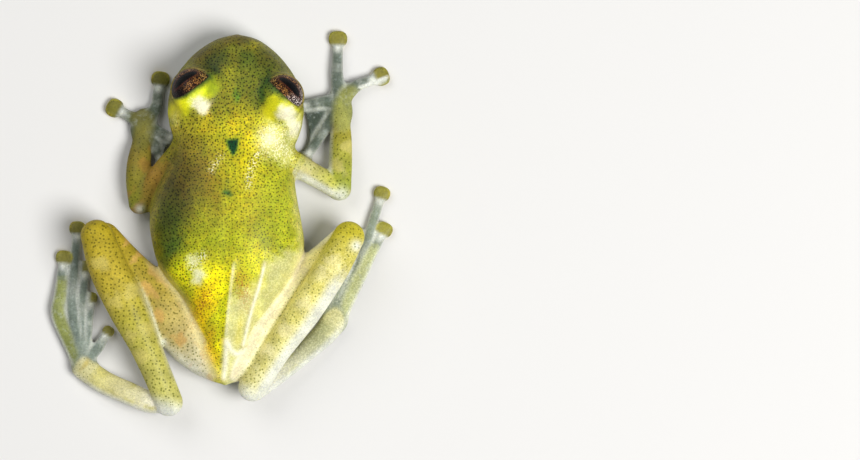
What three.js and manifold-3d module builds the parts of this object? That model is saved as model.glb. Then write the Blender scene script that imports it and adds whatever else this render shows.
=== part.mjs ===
// A life-size glass frog crouched flat on the floor, as a still model.
// Millimetres, +Z up. The head points to -Y and the frog's own left side is +X.
// Each fleshy part is a ball whose rows are laid along a curve, so it stays one closed surface.
// Parts are then cut clear of each other, and everything that touches the floor gets a small flat at Z 0.
import * as THREE from "three";
import { mergeVertices } from "three/addons/utils/BufferGeometryUtils.js";
import Module from "manifold-3d";

const wasm = await Module();
wasm.setup();

const GAP = 0.25; // between parts that touch
const WELD = 1e-4; // vertices closer than this are one vertex
const SHORTEST_EDGE = 4e-3; // and in a finished part, closer than this
const ROOM = 60; // a side of the boxes that cut, larger than the frog
const UP = new THREE.Vector3(0, 0, 1);

// Head and trunk: sections from snout to vent.
// Each is [y, x of the midline, half width, top, bottom, height of the widest line].
const SECTIONS = [
  [-11.66, -0.95, 0, 1.95, 1.95, 1.95],
  [-11.5, -0.95, 0.84, 2.7, 1.14, 1.88],
  [-11.22, -0.94, 1.48, 3.05, 0.7, 1.8],
  [-10.6, -0.88, 2.38, 3.5, 0.08, 1.65],
  [-9.9, -0.86, 3.04, 3.82, -0.16, 1.6],
  [-9.0, -0.84, 3.68, 4.1, -0.24, 1.6],
  [-8.0, -0.87, 4.07, 4.3, -0.24, 1.6],
  [-7.0, -0.88, 4.17, 4.4, -0.16, 1.6],
  [-6.1, -0.88, 4.12, 4.44, 0.05, 1.6],
  [-5.3, -0.88, 3.88, 4.44, 0.12, 1.6],
  [-4.5, -0.74, 3.68, 4.5, 0.0, 1.55],
  [-3.6, -0.54, 3.82, 4.68, -0.35, 1.45],
  [-2.4, -0.34, 4.2, 4.96, -0.55, 1.4],
  [-1.2, -0.2, 4.53, 5.14, -0.6, 1.4],
  [0, -0.24, 4.71, 5.22, -0.6, 1.4],
  [1.2, -0.4, 4.72, 5.18, -0.6, 1.4],
  [2.3, -0.48, 4.52, 5.02, -0.55, 1.4],
  [3.4, -0.51, 4.0, 4.78, -0.45, 1.4],
  [4.6, -0.58, 3.12, 4.42, -0.4, 1.4],
  [6.0, -0.44, 2.3, 3.94, -0.35, 1.35],
  [7.4, -0.28, 1.6, 3.4, -0.3, 1.3],
  [8.7, -0.18, 1.0, 2.8, -0.1, 1.25],
  [9.6, -0.18, 0.58, 2.2, 0.5, 1.3],
  [10.0, -0.2, 0, 1.4, 1.4, 1.4],
];
const BODY_SIDES = 22;
const ROUNDNESS = 2.35; // power of the section's outline, 2 is an ellipse
const NECK_Y = -4.55; // where head and trunk part

// Eyes: the centre, and the compass heading of the gaze away from straight ahead
const EYE_RADIUS = 1.34;
const EYE_GAP = 0.18;
const LID_THICKNESS = 0.14;
const LID_RADIUS = EYE_RADIUS + EYE_GAP + LID_THICKNESS; // of the bulge round each eye
const EYES = {
  left: { centre: [1.66, -8.15, 3.45], heading: 36 },
  right: { centre: [-3.7, -7.78, 3.45], heading: 44 },
};
const GAZE_LIFT = 47; // degrees above level
const LID_CORNERS = 62; // degrees from the gaze to the corners of the lids
const LID_MARGINS = 38; // degrees from the gaze to the middle of the upper and lower lid

// Mouth, nostrils and ear drums
const MOUTH = { front: 1.4, slope: 0.012, width: 0.14, depth: 0.3, corner: -6.35 };
const NOSTRIL = { y: -10.9, apart: 1.04, z: 3.0, radius: 0.12, depth: 0.5, lip: 0.3 };
const EAR = { y: -6.05, z: 2.75, radius: 0.4, depth: 0.14 };

// Limbs: each row is [x, y, z, half width, half height] on the limb's own line.
// The thighs lie on the floor, the shanks are folded over them and the heels are off the floor.
const LIMBS = {
  upper_arm_left: [[2.6, -4.4, 1.7, 0.7, 0.72], [4.0, -2.75, 1.35, 0.68, 0.7],
    [4.85, -1.4, 1.05, 0.64, 0.64]],
  forearm_left: [[5.14, -1.2, 0.98, 0.66, 0.62], [5.2, -2.6, 0.98, 0.77, 0.66],
    [5.14, -3.8, 0.88, 0.76, 0.58], [4.98, -5.35, 0.64, 0.6, 0.42]],
  thigh_left: [[0.95, 8.05, 1.55, 1.3, 1.35], [2.1, 6.85, 1.45, 1.7, 1.5],
    [4.06, 4.97, 1.38, 1.68, 1.42], [5.98, 2.75, 1.6, 1.28, 1.15], [7.3, 1.0, 1.95, 1.04, 0.9]],
  shank_left: [[7.7, 0.8, 2.8, 1.0, 0.87], [7.02, 2.74, 2.9, 1.19, 1.02],
    [5.84, 5.15, 2.8, 1.22, 1.06], [4.72, 7.58, 2.45, 0.98, 0.92], [3.78, 9.81, 2.05, 0.88, 0.84],
    [3.28, 11.12, 1.85, 0.88, 0.84]],
  tarsus_left: [[3.5, 11.1, 1.5, 0.68, 0.62], [4.43, 11.14, 1.4, 0.68, 0.6], [5.8, 10.58, 1.1, 0.7, 0.58],
    [7.25, 9.96, 0.8, 0.72, 0.54], [8.6, 9.05, 0.56, 0.72, 0.46]],
  upper_arm_right: [[-3.9, -4.0, 1.7, 0.8, 0.76], [-5.6, -3.05, 1.4, 0.7, 0.7],
    [-7.2, -2.12, 1.1, 0.64, 0.64]],
  forearm_right: [[-7.36, -2.1, 1.0, 0.66, 0.62], [-7.36, -3.7, 1.0, 0.73, 0.66],
    [-7.38, -5.1, 0.86, 0.7, 0.56], [-7.42, -6.4, 0.64, 0.59, 0.42]],
  thigh_right: [[-1.0, 7.9, 1.55, 1.3, 1.35], [-2.65, 6.15, 1.45, 1.62, 1.5],
    [-4.6, 4.35, 1.38, 1.6, 1.42], [-6.35, 2.6, 1.6, 1.24, 1.15], [-7.75, 1.0, 1.95, 0.92, 0.88]],
  shank_right: [[-7.9, 0.88, 2.85, 0.98, 0.87], [-6.92, 2.73, 3.0, 1.05, 1.05],
    [-5.25, 5.33, 2.9, 1.04, 1.1], [-3.44, 7.85, 2.5, 0.9, 0.94], [-2.43, 9.4, 2.1, 0.87, 0.85],
    [-1.92, 10.2, 1.9, 0.88, 0.84]],
  tarsus_right: [[-2.2, 10.3, 1.5, 0.66, 0.62], [-3.0, 9.71, 1.4, 0.66, 0.6], [-4.95, 8.2, 1.05, 0.64, 0.58],
    [-6.42, 6.84, 0.76, 0.72, 0.54], [-7.0, 6.05, 0.6, 0.72, 0.48]],
};
const LIMB_SIDES = 12;
const LIMB_ROWS = 12;

// Hands and feet: the palm or sole, then each digit as [root, knuckle, tip] in plan, inner digit first.
// A web runs between each digit and the next, up to these shares of the two digits' lengths,
// and its free edge is drawn in towards the palm by the third share.
const HANDS = {
  hand_left: {
    palm: [[4.95, -5.85], [4.78, -6.4]],
    digits: [
      [[4.75, -5.95], [4.3, -5.1], [3.68, -3.5]],
      [[4.75, -6.1], [4.1, -5.72], [2.82, -5.08]],
      [[4.7, -6.3], [4.1, -7.2], [3.85, -8.93]],
      [[4.85, -6.35], [5.55, -6.5], [6.71, -7.15]],
    ],
    webs: [[0.86, 0.92, 0.1], [0.55, 0.3, 0.3], [0.46, 0.48, 0.3]],
  },
  hand_right: {
    palm: [[-7.42, -6.85], [-7.36, -7.55]],
    digits: [
      [[-7.3, -7.1], [-6.6, -6.1], [-5.1, -3.95]],
      [[-7.3, -7.4], [-6.4, -7.55], [-4.66, -7.25]],
      [[-7.3, -7.7], [-7.15, -9.2], [-7.2, -11.44]],
      [[-7.5, -7.7], [-8.3, -8.5], [-9.89, -9.11]],
    ],
    webs: [[0.86, 0.92, 0.1], [0.55, 0.3, 0.3], [0.46, 0.48, 0.3]],
  },
};
const FEET = {
  foot_left: {
    palm: [[8.6, 8.62], [8.85, 7.6]],
    digits: [
      [[8.35, 8.35], [7.7, 7.75], [7.1, 6.75]],
      [[8.7, 8.2], [8.4, 6.6], [8.18, 4.67]],
      [[8.8, 8.2], [8.85, 5.9], [8.5, 2.77]],
      [[8.95, 8.2], [9.35, 4.9], [9.01, 0.35]],
      [[9.1, 8.4], [10.32, 5.6], [9.84, 2.18]],
    ],
    webs: [[0.5, 0.4, 0.3], [0.8, 0.74, 0.2], [0.86, 0.66, 0.15], [0.77, 0.93, 0.1]],
  },
  foot_right: {
    palm: [[-6.95, 6.1], [-7.15, 5.3]],
    digits: [
      [[-6.85, 5.95], [-6.62, 4.95], [-6.85, 3.5]],
      [[-6.95, 5.8], [-7.2, 4.0], [-7.75, 1.8]],
      [[-7.0, 5.8], [-7.7, 3.3], [-8.36, 0.62]],
      [[-7.15, 5.8], [-8.55, 2.6], [-9.94, -1.82]],
      [[-7.3, 6.0], [-8.75, 3.1], [-10.08, 0.42]],
    ],
    webs: [[0.5, 0.4, 0.3], [0.8, 0.74, 0.2], [0.86, 0.6, 0.15], [0.66, 0.93, 0.1]],
  },
};
const FINGER = { root: 0.48, width: 0.37, height: 0.31, discs: [0.46, 0.5, 0.55, 0.55] };
const TOE = { root: 0.4, width: 0.35, height: 0.3, discs: [0.38, 0.42, 0.46, 0.5, 0.5] };
const DIGIT_RISE = 0.42;
const TIP_RISE = 0.26;
const PALM = { width: 0.75, height: 0.43, rise: 0.42 };
const DISC_HEIGHT = 0.3;
const WEB_BOTTOM = 0.17;
const WEB_THICKNESS = 0.5;
const DIGIT_SIDES = 8;
const DIGIT_ROWS = 8;

// Skin colours
const COLOURS = {
  head: 0xa9a530, torso: 0xb4b22c, eye: 0x5a2c18, arm: 0xb2b04a, thigh: 0xc4b95a, shank: 0xc8bf62,
  tarsus: 0xc9c98c, hand: 0xb4bd9a, foot: 0xafb896,
};

// A closed three.js geometry as a solid.
function solid(geometry, weld = WELD) {
  const bare = geometry.index ? geometry.toNonIndexed() : geometry.clone();
  bare.deleteAttribute("normal");
  bare.deleteAttribute("uv");
  const merged = mergeVertices(bare, weld);
  return new wasm.Manifold(new wasm.Mesh({
    numProp: 3,
    vertProperties: merged.attributes.position.array,
    triVerts: new Uint32Array(merged.index.array),
  }));
}

// A ball whose vertices go where place(row, angle) says; row 0 and the last row are single points.
function flesh(sides, rows, place) {
  const ball = new THREE.SphereGeometry(1, sides, rows);
  const { position, uv } = ball.attributes;
  for (let i = 0; i < position.count; i++) {
    const row = Math.round((1 - uv.getY(i)) * rows);
    const point = place(row, 2 * Math.PI * uv.getX(i));
    position.setXYZ(i, point.x, point.y, point.z);
  }
  return solid(ball);
}

// A round limb along rows of [x, y, z, half width, half height], with rounded ends of a few rows each.
function limb(line, grow = 0, sides = LIMB_SIDES, rows = LIMB_ROWS, caps = 3) {
  const path = new THREE.CatmullRomCurve3(line.map(([x, y, z]) => new THREE.Vector3(x, y, z)));
  const girth = new THREE.CatmullRomCurve3(line.map((r) => new THREE.Vector3(r[3], r[4], 0)));
  return flesh(sides, rows, (row, angle) => {
    const share = THREE.MathUtils.clamp((row - caps) / (rows - 2 * caps), 0, 1);
    const past = Math.max(caps - row, row - (rows - caps), 0) / caps;
    const bend = (past * Math.PI) / 2;
    const along = path.getTangent(share);
    const side = new THREE.Vector3().crossVectors(UP, along).normalize();
    const above = new THREE.Vector3().crossVectors(along, side);
    const size = girth.getPoint(share);
    const end = Math.sign(share - 0.5) * (Math.max(size.x, size.y) + grow) * Math.sin(bend);
    const closing = past === 1 ? 0 : Math.cos(bend);
    return path.getPoint(share)
      .addScaledVector(along, end)
      .addScaledVector(side, -(size.x + grow) * closing * Math.cos(angle))
      .addScaledVector(above, (size.y + grow) * closing * Math.sin(angle));
  });
}

// Head and trunk in one, through SECTIONS.
function wholeBody(grow = 0) {
  const plan = new THREE.CatmullRomCurve3(SECTIONS.map(([y, x, w]) => new THREE.Vector3(x, y, w)));
  const rise = new THREE.CatmullRomCurve3(SECTIONS.map((s) => new THREE.Vector3(s[3], s[4], s[5])));
  const rows = SECTIONS.length - 1;
  const rounded = (v) => Math.sign(v) * Math.abs(v) ** (2 / ROUNDNESS);
  return flesh(BODY_SIDES, rows, (row, angle) => {
    const atPlan = plan.getPoint(row / rows);
    const atRise = rise.getPoint(row / rows);
    const isEnd = row === 0 || row === rows;
    const across = isEnd ? 0 : (atPlan.z + grow) * rounded(Math.cos(angle));
    const lift = rounded(Math.sin(angle));
    const reach = lift > 0 ? atRise.x - atRise.z : atRise.z - atRise.y;
    const height = isEnd ? 0 : lift * (reach + grow);
    const ahead = row === 0 ? -grow : row === rows ? grow : 0;
    return new THREE.Vector3(atPlan.x + across, atPlan.y + ahead, atRise.z + height);
  });
}

function ball(radius, centre, sides = 18, rows = 10) {
  return solid(new THREE.SphereGeometry(radius, sides, rows).translate(...centre));
}

// A box that fills everything from one value of an axis onwards, or up to it if side is -1.
function beyond(axis, value, side) {
  const centre = new THREE.Vector3();
  centre[axis] = value + (side * ROOM) / 2;
  return solid(new THREE.BoxGeometry(ROOM, ROOM, ROOM).translate(...centre));
}

// The largest closed piece of a cut solid.
function largest(cut) {
  return cut.decompose().reduce((a, b) => (a.volume() > b.volume() ? a : b));
}

function union(solids) {
  return solids.reduce((a, b) => a.add(b));
}

function gazeOf(name) {
  const heading = THREE.MathUtils.degToRad(EYES[name].heading);
  const lift = THREE.MathUtils.degToRad(GAZE_LIFT);
  const side = name === "left" ? 1 : -1;
  return new THREE.Vector3(
    side * Math.sin(heading) * Math.cos(lift), -Math.cos(heading) * Math.cos(lift), Math.sin(lift));
}

// The cone of sight through which the lids leave the eye open, wider than it is high.
function lidOpening(name) {
  const length = 2 * EYE_RADIUS;
  const across = length * Math.tan(THREE.MathUtils.degToRad(LID_CORNERS));
  const up = length * Math.tan(THREE.MathUtils.degToRad(LID_MARGINS));
  const gaze = gazeOf(name);
  const sideways = new THREE.Vector3().crossVectors(UP, gaze).normalize();
  const upwards = new THREE.Vector3().crossVectors(gaze, sideways);
  const turn = new THREE.Matrix4().makeBasis(sideways, gaze.clone().negate(), upwards);
  const cone = new THREE.ConeGeometry(1, length, 20).translate(0, -length / 2, 0).scale(across, 1, up);
  return solid(cone.applyMatrix4(turn).translate(...EYES[name].centre));
}

// The groove of the mouth: a thin slab round the jaws, with the inside of the head left whole.
function mouthGroove() {
  const slab = new THREE.BoxGeometry(ROOM, ROOM, MOUTH.width).translate(0, ROOM / 2, 0)
    .rotateX(Math.atan(MOUTH.slope)).translate(0, SECTIONS[0][0] - 1, MOUTH.front);
  return solid(slab).subtract(wholeBody(-MOUTH.depth)).subtract(beyond("y", MOUTH.corner, 1));
}

// A small round tool that points along a direction, for nostrils and ear drums.
function plug(radius, depth, centre, direction, sides = 10) {
  const turn = new THREE.Quaternion().setFromUnitVectors(new THREE.Vector3(0, 1, 0), direction);
  const rod = new THREE.CylinderGeometry(radius, radius, depth, sides);
  return solid(rod.applyQuaternion(turn).translate(...centre));
}

function buildHead(body) {
  let head = body.subtract(beyond("y", NECK_Y - GAP / 2, 1));
  const midline = SECTIONS[2][1];
  for (const side of [1, -1]) {
    const nostril = [midline + (side * NOSTRIL.apart) / 2, NOSTRIL.y, NOSTRIL.z];
    const out = new THREE.Vector3(side * 0.5, -0.6, 0.6).normalize();
    const mouthOfPit = new THREE.Vector3(...nostril).addScaledVector(out, NOSTRIL.lip);
    const pit = plug(NOSTRIL.radius, NOSTRIL.depth, mouthOfPit, out, 8);
    head = head.add(ball(NOSTRIL.lip, nostril, 10, 6)).subtract(pit);
    const drum = [skinOfHead(EAR.y, EAR.z, side), EAR.y, EAR.z];
    const outOfEar = new THREE.Vector3(side, 0, 0.55).normalize();
    head = head.subtract(plug(EAR.radius, EAR.depth, drum, outOfEar, 12));
  }
  for (const { centre } of Object.values(EYES)) {
    head = head.add(ball(LID_RADIUS, centre));
  }
  for (const [name, { centre }] of Object.entries(EYES)) {
    head = head.subtract(ball(EYE_RADIUS + EYE_GAP, centre)).subtract(lidOpening(name));
  }
  return head.subtract(mouthGroove());
}

// The X of the head's skin at a height, on one side, read from the section nearest y.
function skinOfHead(y, z, side) {
  const section = SECTIONS.reduce((a, b) => (Math.abs(a[0] - y) < Math.abs(b[0] - y) ? a : b));
  const [, midline, halfWidth, top, , level] = section;
  return midline + side * halfWidth * (1 - ((z - level) / (top - level)) ** ROUNDNESS) ** (1 / ROUNDNESS);
}

// One finger or toe with its round disc.
function digit([root, knuckle, tip], size, discRadius) {
  const nearTip = knuckle.map((v, i) => THREE.MathUtils.lerp(v, tip[i], 0.6));
  const line = [
    [...root, DIGIT_RISE, size.root, size.height],
    [...knuckle, DIGIT_RISE, size.width, size.height],
    [...nearTip, (DIGIT_RISE + TIP_RISE) / 2, size.width * 0.86, size.height * 0.9],
    [...tip, TIP_RISE, size.width * 0.84, size.height * 0.84],
  ];
  const disc = new THREE.SphereGeometry(1, 12, 6).rotateX(Math.PI / 2)
    .scale(discRadius, discRadius, DISC_HEIGHT).translate(...tip, DISC_HEIGHT * 0.8);
  return limb(line, 0, DIGIT_SIDES, DIGIT_ROWS, 2).add(solid(disc));
}

// The skin between two digits, along each of them up to a share of its length.
function web(digitA, digitB, [shareA, shareB, drawnIn]) {
  const [sideA, sideB] = [digitA, digitB].map(
    (digitLine) => new THREE.CatmullRomCurve3(digitLine.map(([x, y]) => new THREE.Vector3(x, y, 0))));
  const steps = [0, 0.5, 1];
  const out = steps.map((step) => sideA.getPoint(step * shareA));
  const back = steps.map((step) => sideB.getPoint(step * shareB)).reverse();
  const pull = out[2].clone().lerp(back[0], 0.5).lerp(out[0], drawnIn);
  const outline = new THREE.Shape(out.map(({ x, y }) => new THREE.Vector2(x, y)));
  outline.quadraticCurveTo(pull.x, pull.y, back[0].x, back[0].y);
  for (const { x, y } of back.slice(1)) outline.lineTo(x, y);
  const sheet = { depth: WEB_THICKNESS, bevelEnabled: false, curveSegments: 5 };
  return solid(new THREE.ExtrudeGeometry(outline, sheet).translate(0, 0, WEB_BOTTOM));
}

function extremity({ palm, digits, webs }, size) {
  const pad = palm.map(([x, y]) => [x, y, PALM.rise, PALM.width, PALM.height]);
  return union([
    limb(pad, 0, LIMB_SIDES, 8),
    ...digits.map((points, i) => digit(points, size, size.discs[i])),
    ...webs.map((shares, i) => web(digits[i], digits[i + 1], shares)),
  ]);
}

function geometryOf(shape) {
  const { vertProperties, triVerts, numProp, numVert } = shape.getMesh();
  const positions = new Float32Array(numVert * 3);
  for (let i = 0; i < numVert; i++) {
    positions.set(vertProperties.subarray(i * numProp, i * numProp + 3), i * 3);
  }
  const geometry = new THREE.BufferGeometry().setIndex(new THREE.BufferAttribute(triVerts, 1));
  return geometry.setAttribute("position", new THREE.BufferAttribute(positions, 3));
}

const frog = new THREE.Group();
const floor = beyond("z", 0, -1);
const body = wholeBody();
const aroundEyes = Object.values(EYES).map(({ centre }) => ball(LID_RADIUS + GAP, centre));
const aroundBody = union([wholeBody(GAP), ...aroundEyes]);

// Adds a part to the frog, cut off at the floor.
function place(name, shape, colour, roughness = 0.45) {
  const kept = largest(shape.subtract(floor));
  const geometry = geometryOf(solid(geometryOf(kept), SHORTEST_EDGE));
  geometry.computeVertexNormals();
  const mesh = new THREE.Mesh(geometry, new THREE.MeshStandardMaterial({ color: colour, roughness }));
  mesh.name = name;
  frog.add(mesh);
}

place("torso", body.subtract(beyond("y", NECK_Y + GAP / 2, -1)), COLOURS.torso);
place("head", buildHead(body), COLOURS.head);
for (const [name, { centre }] of Object.entries(EYES)) {
  place(`eye_${name}`, ball(EYE_RADIUS, centre), COLOURS.eye, 0.12);
}
for (const side of ["left", "right"]) {
  // Each part is cut clear of the body and of the parts before it in its limb's list.
  const limbs = [
    { parts: ["upper_arm", "forearm"], end: "hand", shapes: HANDS, size: FINGER },
    { parts: ["shank", "thigh", "tarsus"], end: "foot", shapes: FEET, size: TOE },
  ];
  for (const { parts, end, shapes, size } of limbs) {
    let kept = aroundBody;
    for (const part of parts) {
      const line = LIMBS[`${part}_${side}`];
      place(`${part}_${side}`, limb(line).subtract(kept), COLOURS[part] ?? COLOURS.arm);
      kept = kept.add(limb(line, GAP));
    }
    place(`${end}_${side}`, extremity(shapes[`${end}_${side}`], size).subtract(kept), COLOURS[end]);
  }
}

export default frog;
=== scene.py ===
# A glass frog crouched on the floor, life size, seen from straight above.
# The skin is one surface: a field of distances is built from simple rounded forms that melt into
# each other, and the surface where the field is zero becomes the mesh.
# Lengths are in millimetres until a mesh is made. The head points to -Y, its own left is +X.
import math

import bpy
import numpy as np
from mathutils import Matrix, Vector


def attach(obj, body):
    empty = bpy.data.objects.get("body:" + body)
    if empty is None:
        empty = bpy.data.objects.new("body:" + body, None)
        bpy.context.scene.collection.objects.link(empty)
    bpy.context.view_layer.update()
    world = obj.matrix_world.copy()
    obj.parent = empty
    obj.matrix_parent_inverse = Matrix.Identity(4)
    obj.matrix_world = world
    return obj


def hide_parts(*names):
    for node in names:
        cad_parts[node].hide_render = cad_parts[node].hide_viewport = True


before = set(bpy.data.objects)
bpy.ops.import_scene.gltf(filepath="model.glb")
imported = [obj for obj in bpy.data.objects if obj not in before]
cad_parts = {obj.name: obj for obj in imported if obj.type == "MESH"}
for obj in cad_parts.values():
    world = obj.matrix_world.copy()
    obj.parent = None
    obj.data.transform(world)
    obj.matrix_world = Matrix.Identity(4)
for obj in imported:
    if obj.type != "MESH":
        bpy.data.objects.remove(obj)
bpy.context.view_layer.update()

MM = 0.001
UP = np.array([0.0, 0.0, 1.0])

# Head and trunk, from snout to vent
# Each row is [y, x of the midline, half width, top, bottom, height of the widest line].
SECTIONS = [
    [-11.64, -0.95, 0.02, 2.0, 1.8, 1.9],
    [-11.61, -0.95, 0.38, 2.36, 1.5, 1.9],
    [-11.5, -0.95, 0.82, 2.68, 1.16, 1.88],
    [-11.25, -0.94, 1.42, 3.02, 0.74, 1.8],
    [-10.6, -0.88, 2.36, 3.48, 0.1, 1.65],
    [-9.9, -0.86, 3.04, 3.82, -0.16, 1.6],
    [-9.0, -0.84, 3.68, 4.1, -0.24, 1.6],
    [-8.0, -0.87, 4.07, 4.3, -0.24, 1.6],
    [-7.0, -0.88, 4.17, 4.4, -0.16, 1.6],
    [-6.1, -0.88, 4.12, 4.44, 0.05, 1.6],
    [-5.3, -0.88, 3.88, 4.44, 0.12, 1.6],
    [-4.5, -0.74, 3.68, 4.5, 0.0, 1.55],
    [-3.6, -0.54, 3.82, 4.68, -0.35, 1.45],
    [-2.4, -0.34, 4.2, 4.96, -0.55, 1.4],
    [-1.2, -0.2, 4.53, 5.14, -0.6, 1.4],
    [0, -0.24, 4.71, 5.22, -0.6, 1.4],
    [1.2, -0.4, 4.72, 5.18, -0.6, 1.4],
    [2.3, -0.48, 4.52, 5.02, -0.55, 1.4],
    [3.4, -0.51, 4.0, 4.78, -0.45, 1.4],
    [4.6, -0.58, 3.12, 4.42, -0.4, 1.4],
    [6.0, -0.44, 2.3, 3.94, -0.35, 1.35],
    [7.4, -0.28, 1.6, 3.4, -0.3, 1.3],
    [8.7, -0.18, 1.0, 2.8, -0.1, 1.25],
    [9.6, -0.18, 0.58, 2.2, 0.5, 1.3],
    [10.0, -0.2, 0.02, 1.4, 1.4, 1.4],
]
ROUNDNESS = 2.35  # power of a section's outline, 2 is an ellipse
MIDLINE = -0.9    # x of the head's middle

# Eyes
EYE_RADIUS = 1.39
EYES = {
    "left": {"centre": (1.66, -8.15, 3.45), "heading": 36.0, "upper": 38.0, "front": 61.0},
    "right": {"centre": (-3.70, -7.78, 3.45), "heading": 44.0, "upper": 32.5, "front": 56.0},
}
# In degrees seen from the eye's centre: "upper" is how far the upper lid is above the gaze,
# and "front" how far the front corner of the lids is to the side of it
GAZE_LIFT = 47.0      # above level
LID_REAR = 64.0       # from the gaze to the rear corner
CORNER_LIFT = 5.0     # the middle between the two corners, above the gaze
CORNER_TILT = 9.0     # how much the front corner is above that, and the rear one below
LOWER_LID = -39.0
LID_THICKNESS = 0.08
EYE_ROOM = 2.4            # half of the window that an eye is made in

# Limbs: each row is [x, y, z, half width, half height]
LIMBS = {
    "upper_arm_left": [[2.6, -4.4, 1.7, 0.7, 0.72], [4.0, -2.75, 1.35, 0.68, 0.7],
                       [4.85, -1.4, 1.05, 0.64, 0.64]],
    "forearm_left": [[5.14, -1.2, 0.98, 0.66, 0.62], [5.2, -2.6, 0.98, 0.77, 0.66],
                     [5.14, -3.8, 0.86, 0.75, 0.56], [4.98, -5.0, 0.62, 0.6, 0.42],
                     [4.86, -5.8, 0.48, 0.58, 0.34]],
    "thigh_left": [[0.95, 8.05, 1.55, 1.3, 1.35], [2.1, 6.85, 1.45, 1.7, 1.5],
                   [4.06, 4.97, 1.38, 1.68, 1.42], [5.98, 2.75, 1.6, 1.28, 1.15],
                   [7.3, 1.0, 1.95, 1.04, 0.9]],
    "shank_left": [[7.7, 0.8, 2.8, 1.0, 0.87], [7.02, 2.74, 2.9, 1.19, 1.02],
                   [5.84, 5.15, 2.8, 1.22, 1.06], [4.72, 7.58, 2.45, 0.98, 0.92],
                   [3.78, 9.81, 2.05, 0.88, 0.84], [3.28, 11.12, 1.85, 0.88, 0.84]],
    "tarsus_left": [[3.5, 11.1, 1.5, 0.68, 0.62], [4.43, 11.14, 1.4, 0.68, 0.6],
                    [5.8, 10.58, 1.1, 0.7, 0.58], [7.25, 9.96, 0.8, 0.72, 0.54],
                    [8.6, 9.05, 0.56, 0.72, 0.46]],
    "upper_arm_right": [[-3.9, -4.0, 1.7, 0.8, 0.76], [-5.6, -3.05, 1.4, 0.7, 0.7],
                        [-7.2, -2.12, 1.1, 0.64, 0.64]],
    "forearm_right": [[-7.36, -2.1, 1.0, 0.66, 0.62], [-7.36, -3.7, 1.0, 0.73, 0.66],
                      [-7.38, -5.1, 0.84, 0.69, 0.54], [-7.4, -6.2, 0.62, 0.58, 0.42],
                      [-7.4, -7.0, 0.48, 0.58, 0.34]],
    "thigh_right": [[-1.0, 7.9, 1.55, 1.3, 1.35], [-2.65, 6.15, 1.45, 1.62, 1.5],
                    [-4.6, 4.35, 1.38, 1.6, 1.42], [-6.35, 2.6, 1.6, 1.24, 1.15],
                    [-7.75, 1.0, 1.95, 0.92, 0.88]],
    "shank_right": [[-7.9, 0.88, 2.85, 0.98, 0.87], [-6.92, 2.73, 3.0, 1.05, 1.05],
                    [-5.25, 5.33, 2.9, 1.04, 1.1], [-3.44, 7.85, 2.5, 0.9, 0.94],
                    [-2.43, 9.4, 2.1, 0.87, 0.85], [-1.92, 10.2, 1.9, 0.88, 0.84]],
    "tarsus_right": [[-2.2, 10.3, 1.5, 0.66, 0.62], [-3.0, 9.71, 1.4, 0.66, 0.6],
                     [-4.95, 8.2, 1.05, 0.64, 0.58], [-6.42, 6.84, 0.76, 0.74, 0.54],
                     [-7.0, 6.05, 0.6, 0.76, 0.48]],
}

# Hands and feet: the palm, then each digit as [root, knuckle, tip] in plan, inner digit first
# A web runs between each digit and the next, up to these shares of the two digits' lengths,
# with its free edge drawn in towards the palm by the third share.
EXTREMITIES = {
    "hand_left": {
        "palm": [[4.95, -5.85], [4.78, -6.4]],
        "digits": [[[4.75, -5.95], [4.3, -5.1], [3.68, -3.5]],
                   [[4.75, -6.1], [4.1, -5.72], [2.82, -5.08]],
                   [[4.7, -6.3], [4.1, -7.2], [3.85, -8.93]],
                   [[4.85, -6.35], [5.55, -6.5], [6.71, -7.15]]],
        "webs": [[0.86, 0.92, 0.1], [0.55, 0.3, 0.3], [0.46, 0.48, 0.3]],
    },
    "hand_right": {
        "palm": [[-7.3, -6.85], [-7.25, -7.55]],
        "digits": [[[-7.3, -7.1], [-6.6, -6.1], [-5.1, -3.95]],
                   [[-7.3, -7.4], [-6.4, -7.55], [-4.66, -7.25]],
                   [[-7.3, -7.7], [-7.15, -9.2], [-7.2, -11.44]],
                   [[-7.5, -7.7], [-8.3, -8.5], [-9.89, -9.11]]],
        "webs": [[0.86, 0.92, 0.1], [0.55, 0.3, 0.3], [0.46, 0.48, 0.3]],
    },
    "foot_left": {
        "palm": [[8.6, 8.62], [8.85, 7.6]],
        "digits": [[[8.35, 8.35], [7.7, 7.75], [7.1, 6.75]],
                   [[8.7, 8.2], [8.4, 6.6], [8.18, 4.67]],
                   [[8.8, 8.2], [8.85, 5.9], [8.5, 2.77]],
                   [[8.95, 8.2], [9.35, 4.9], [9.01, 0.35]],
                   [[9.1, 8.4], [10.32, 5.6], [9.84, 2.18]]],
        "webs": [[0.5, 0.4, 0.3], [0.8, 0.74, 0.2], [0.86, 0.66, 0.15], [0.77, 0.93, 0.1]],
    },
    "foot_right": {
        "palm": [[-6.95, 6.1], [-7.15, 5.3]],
        "digits": [[[-6.85, 5.95], [-6.62, 4.95], [-6.85, 3.5]],
                   [[-6.95, 5.8], [-7.2, 4.0], [-7.75, 1.8]],
                   [[-7.0, 5.8], [-7.7, 3.3], [-8.36, 0.62]],
                   [[-7.15, 5.8], [-8.55, 2.6], [-9.94, -1.82]],
                   [[-7.3, 6.0], [-8.75, 3.1], [-10.08, 0.42]]],
        "webs": [[0.5, 0.4, 0.3], [0.8, 0.74, 0.2], [0.86, 0.6, 0.15], [0.66, 0.93, 0.1]],
    },
}
FINGER = {"root": 0.48, "width": 0.37, "height": 0.31, "discs": [0.46, 0.5, 0.545, 0.55]}
TOE = {"root": 0.4, "width": 0.34, "height": 0.28, "discs": [0.36, 0.4, 0.45, 0.49, 0.5]}
PALM = {"width": 0.74, "height": 0.42, "rise": 0.42}
DIGIT_RISE = 0.42
TIP_RISE = 0.28
DISC_HEIGHT = 0.28
WEB_RISE = 0.38
WEB_THICKNESS = 0.2

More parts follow.
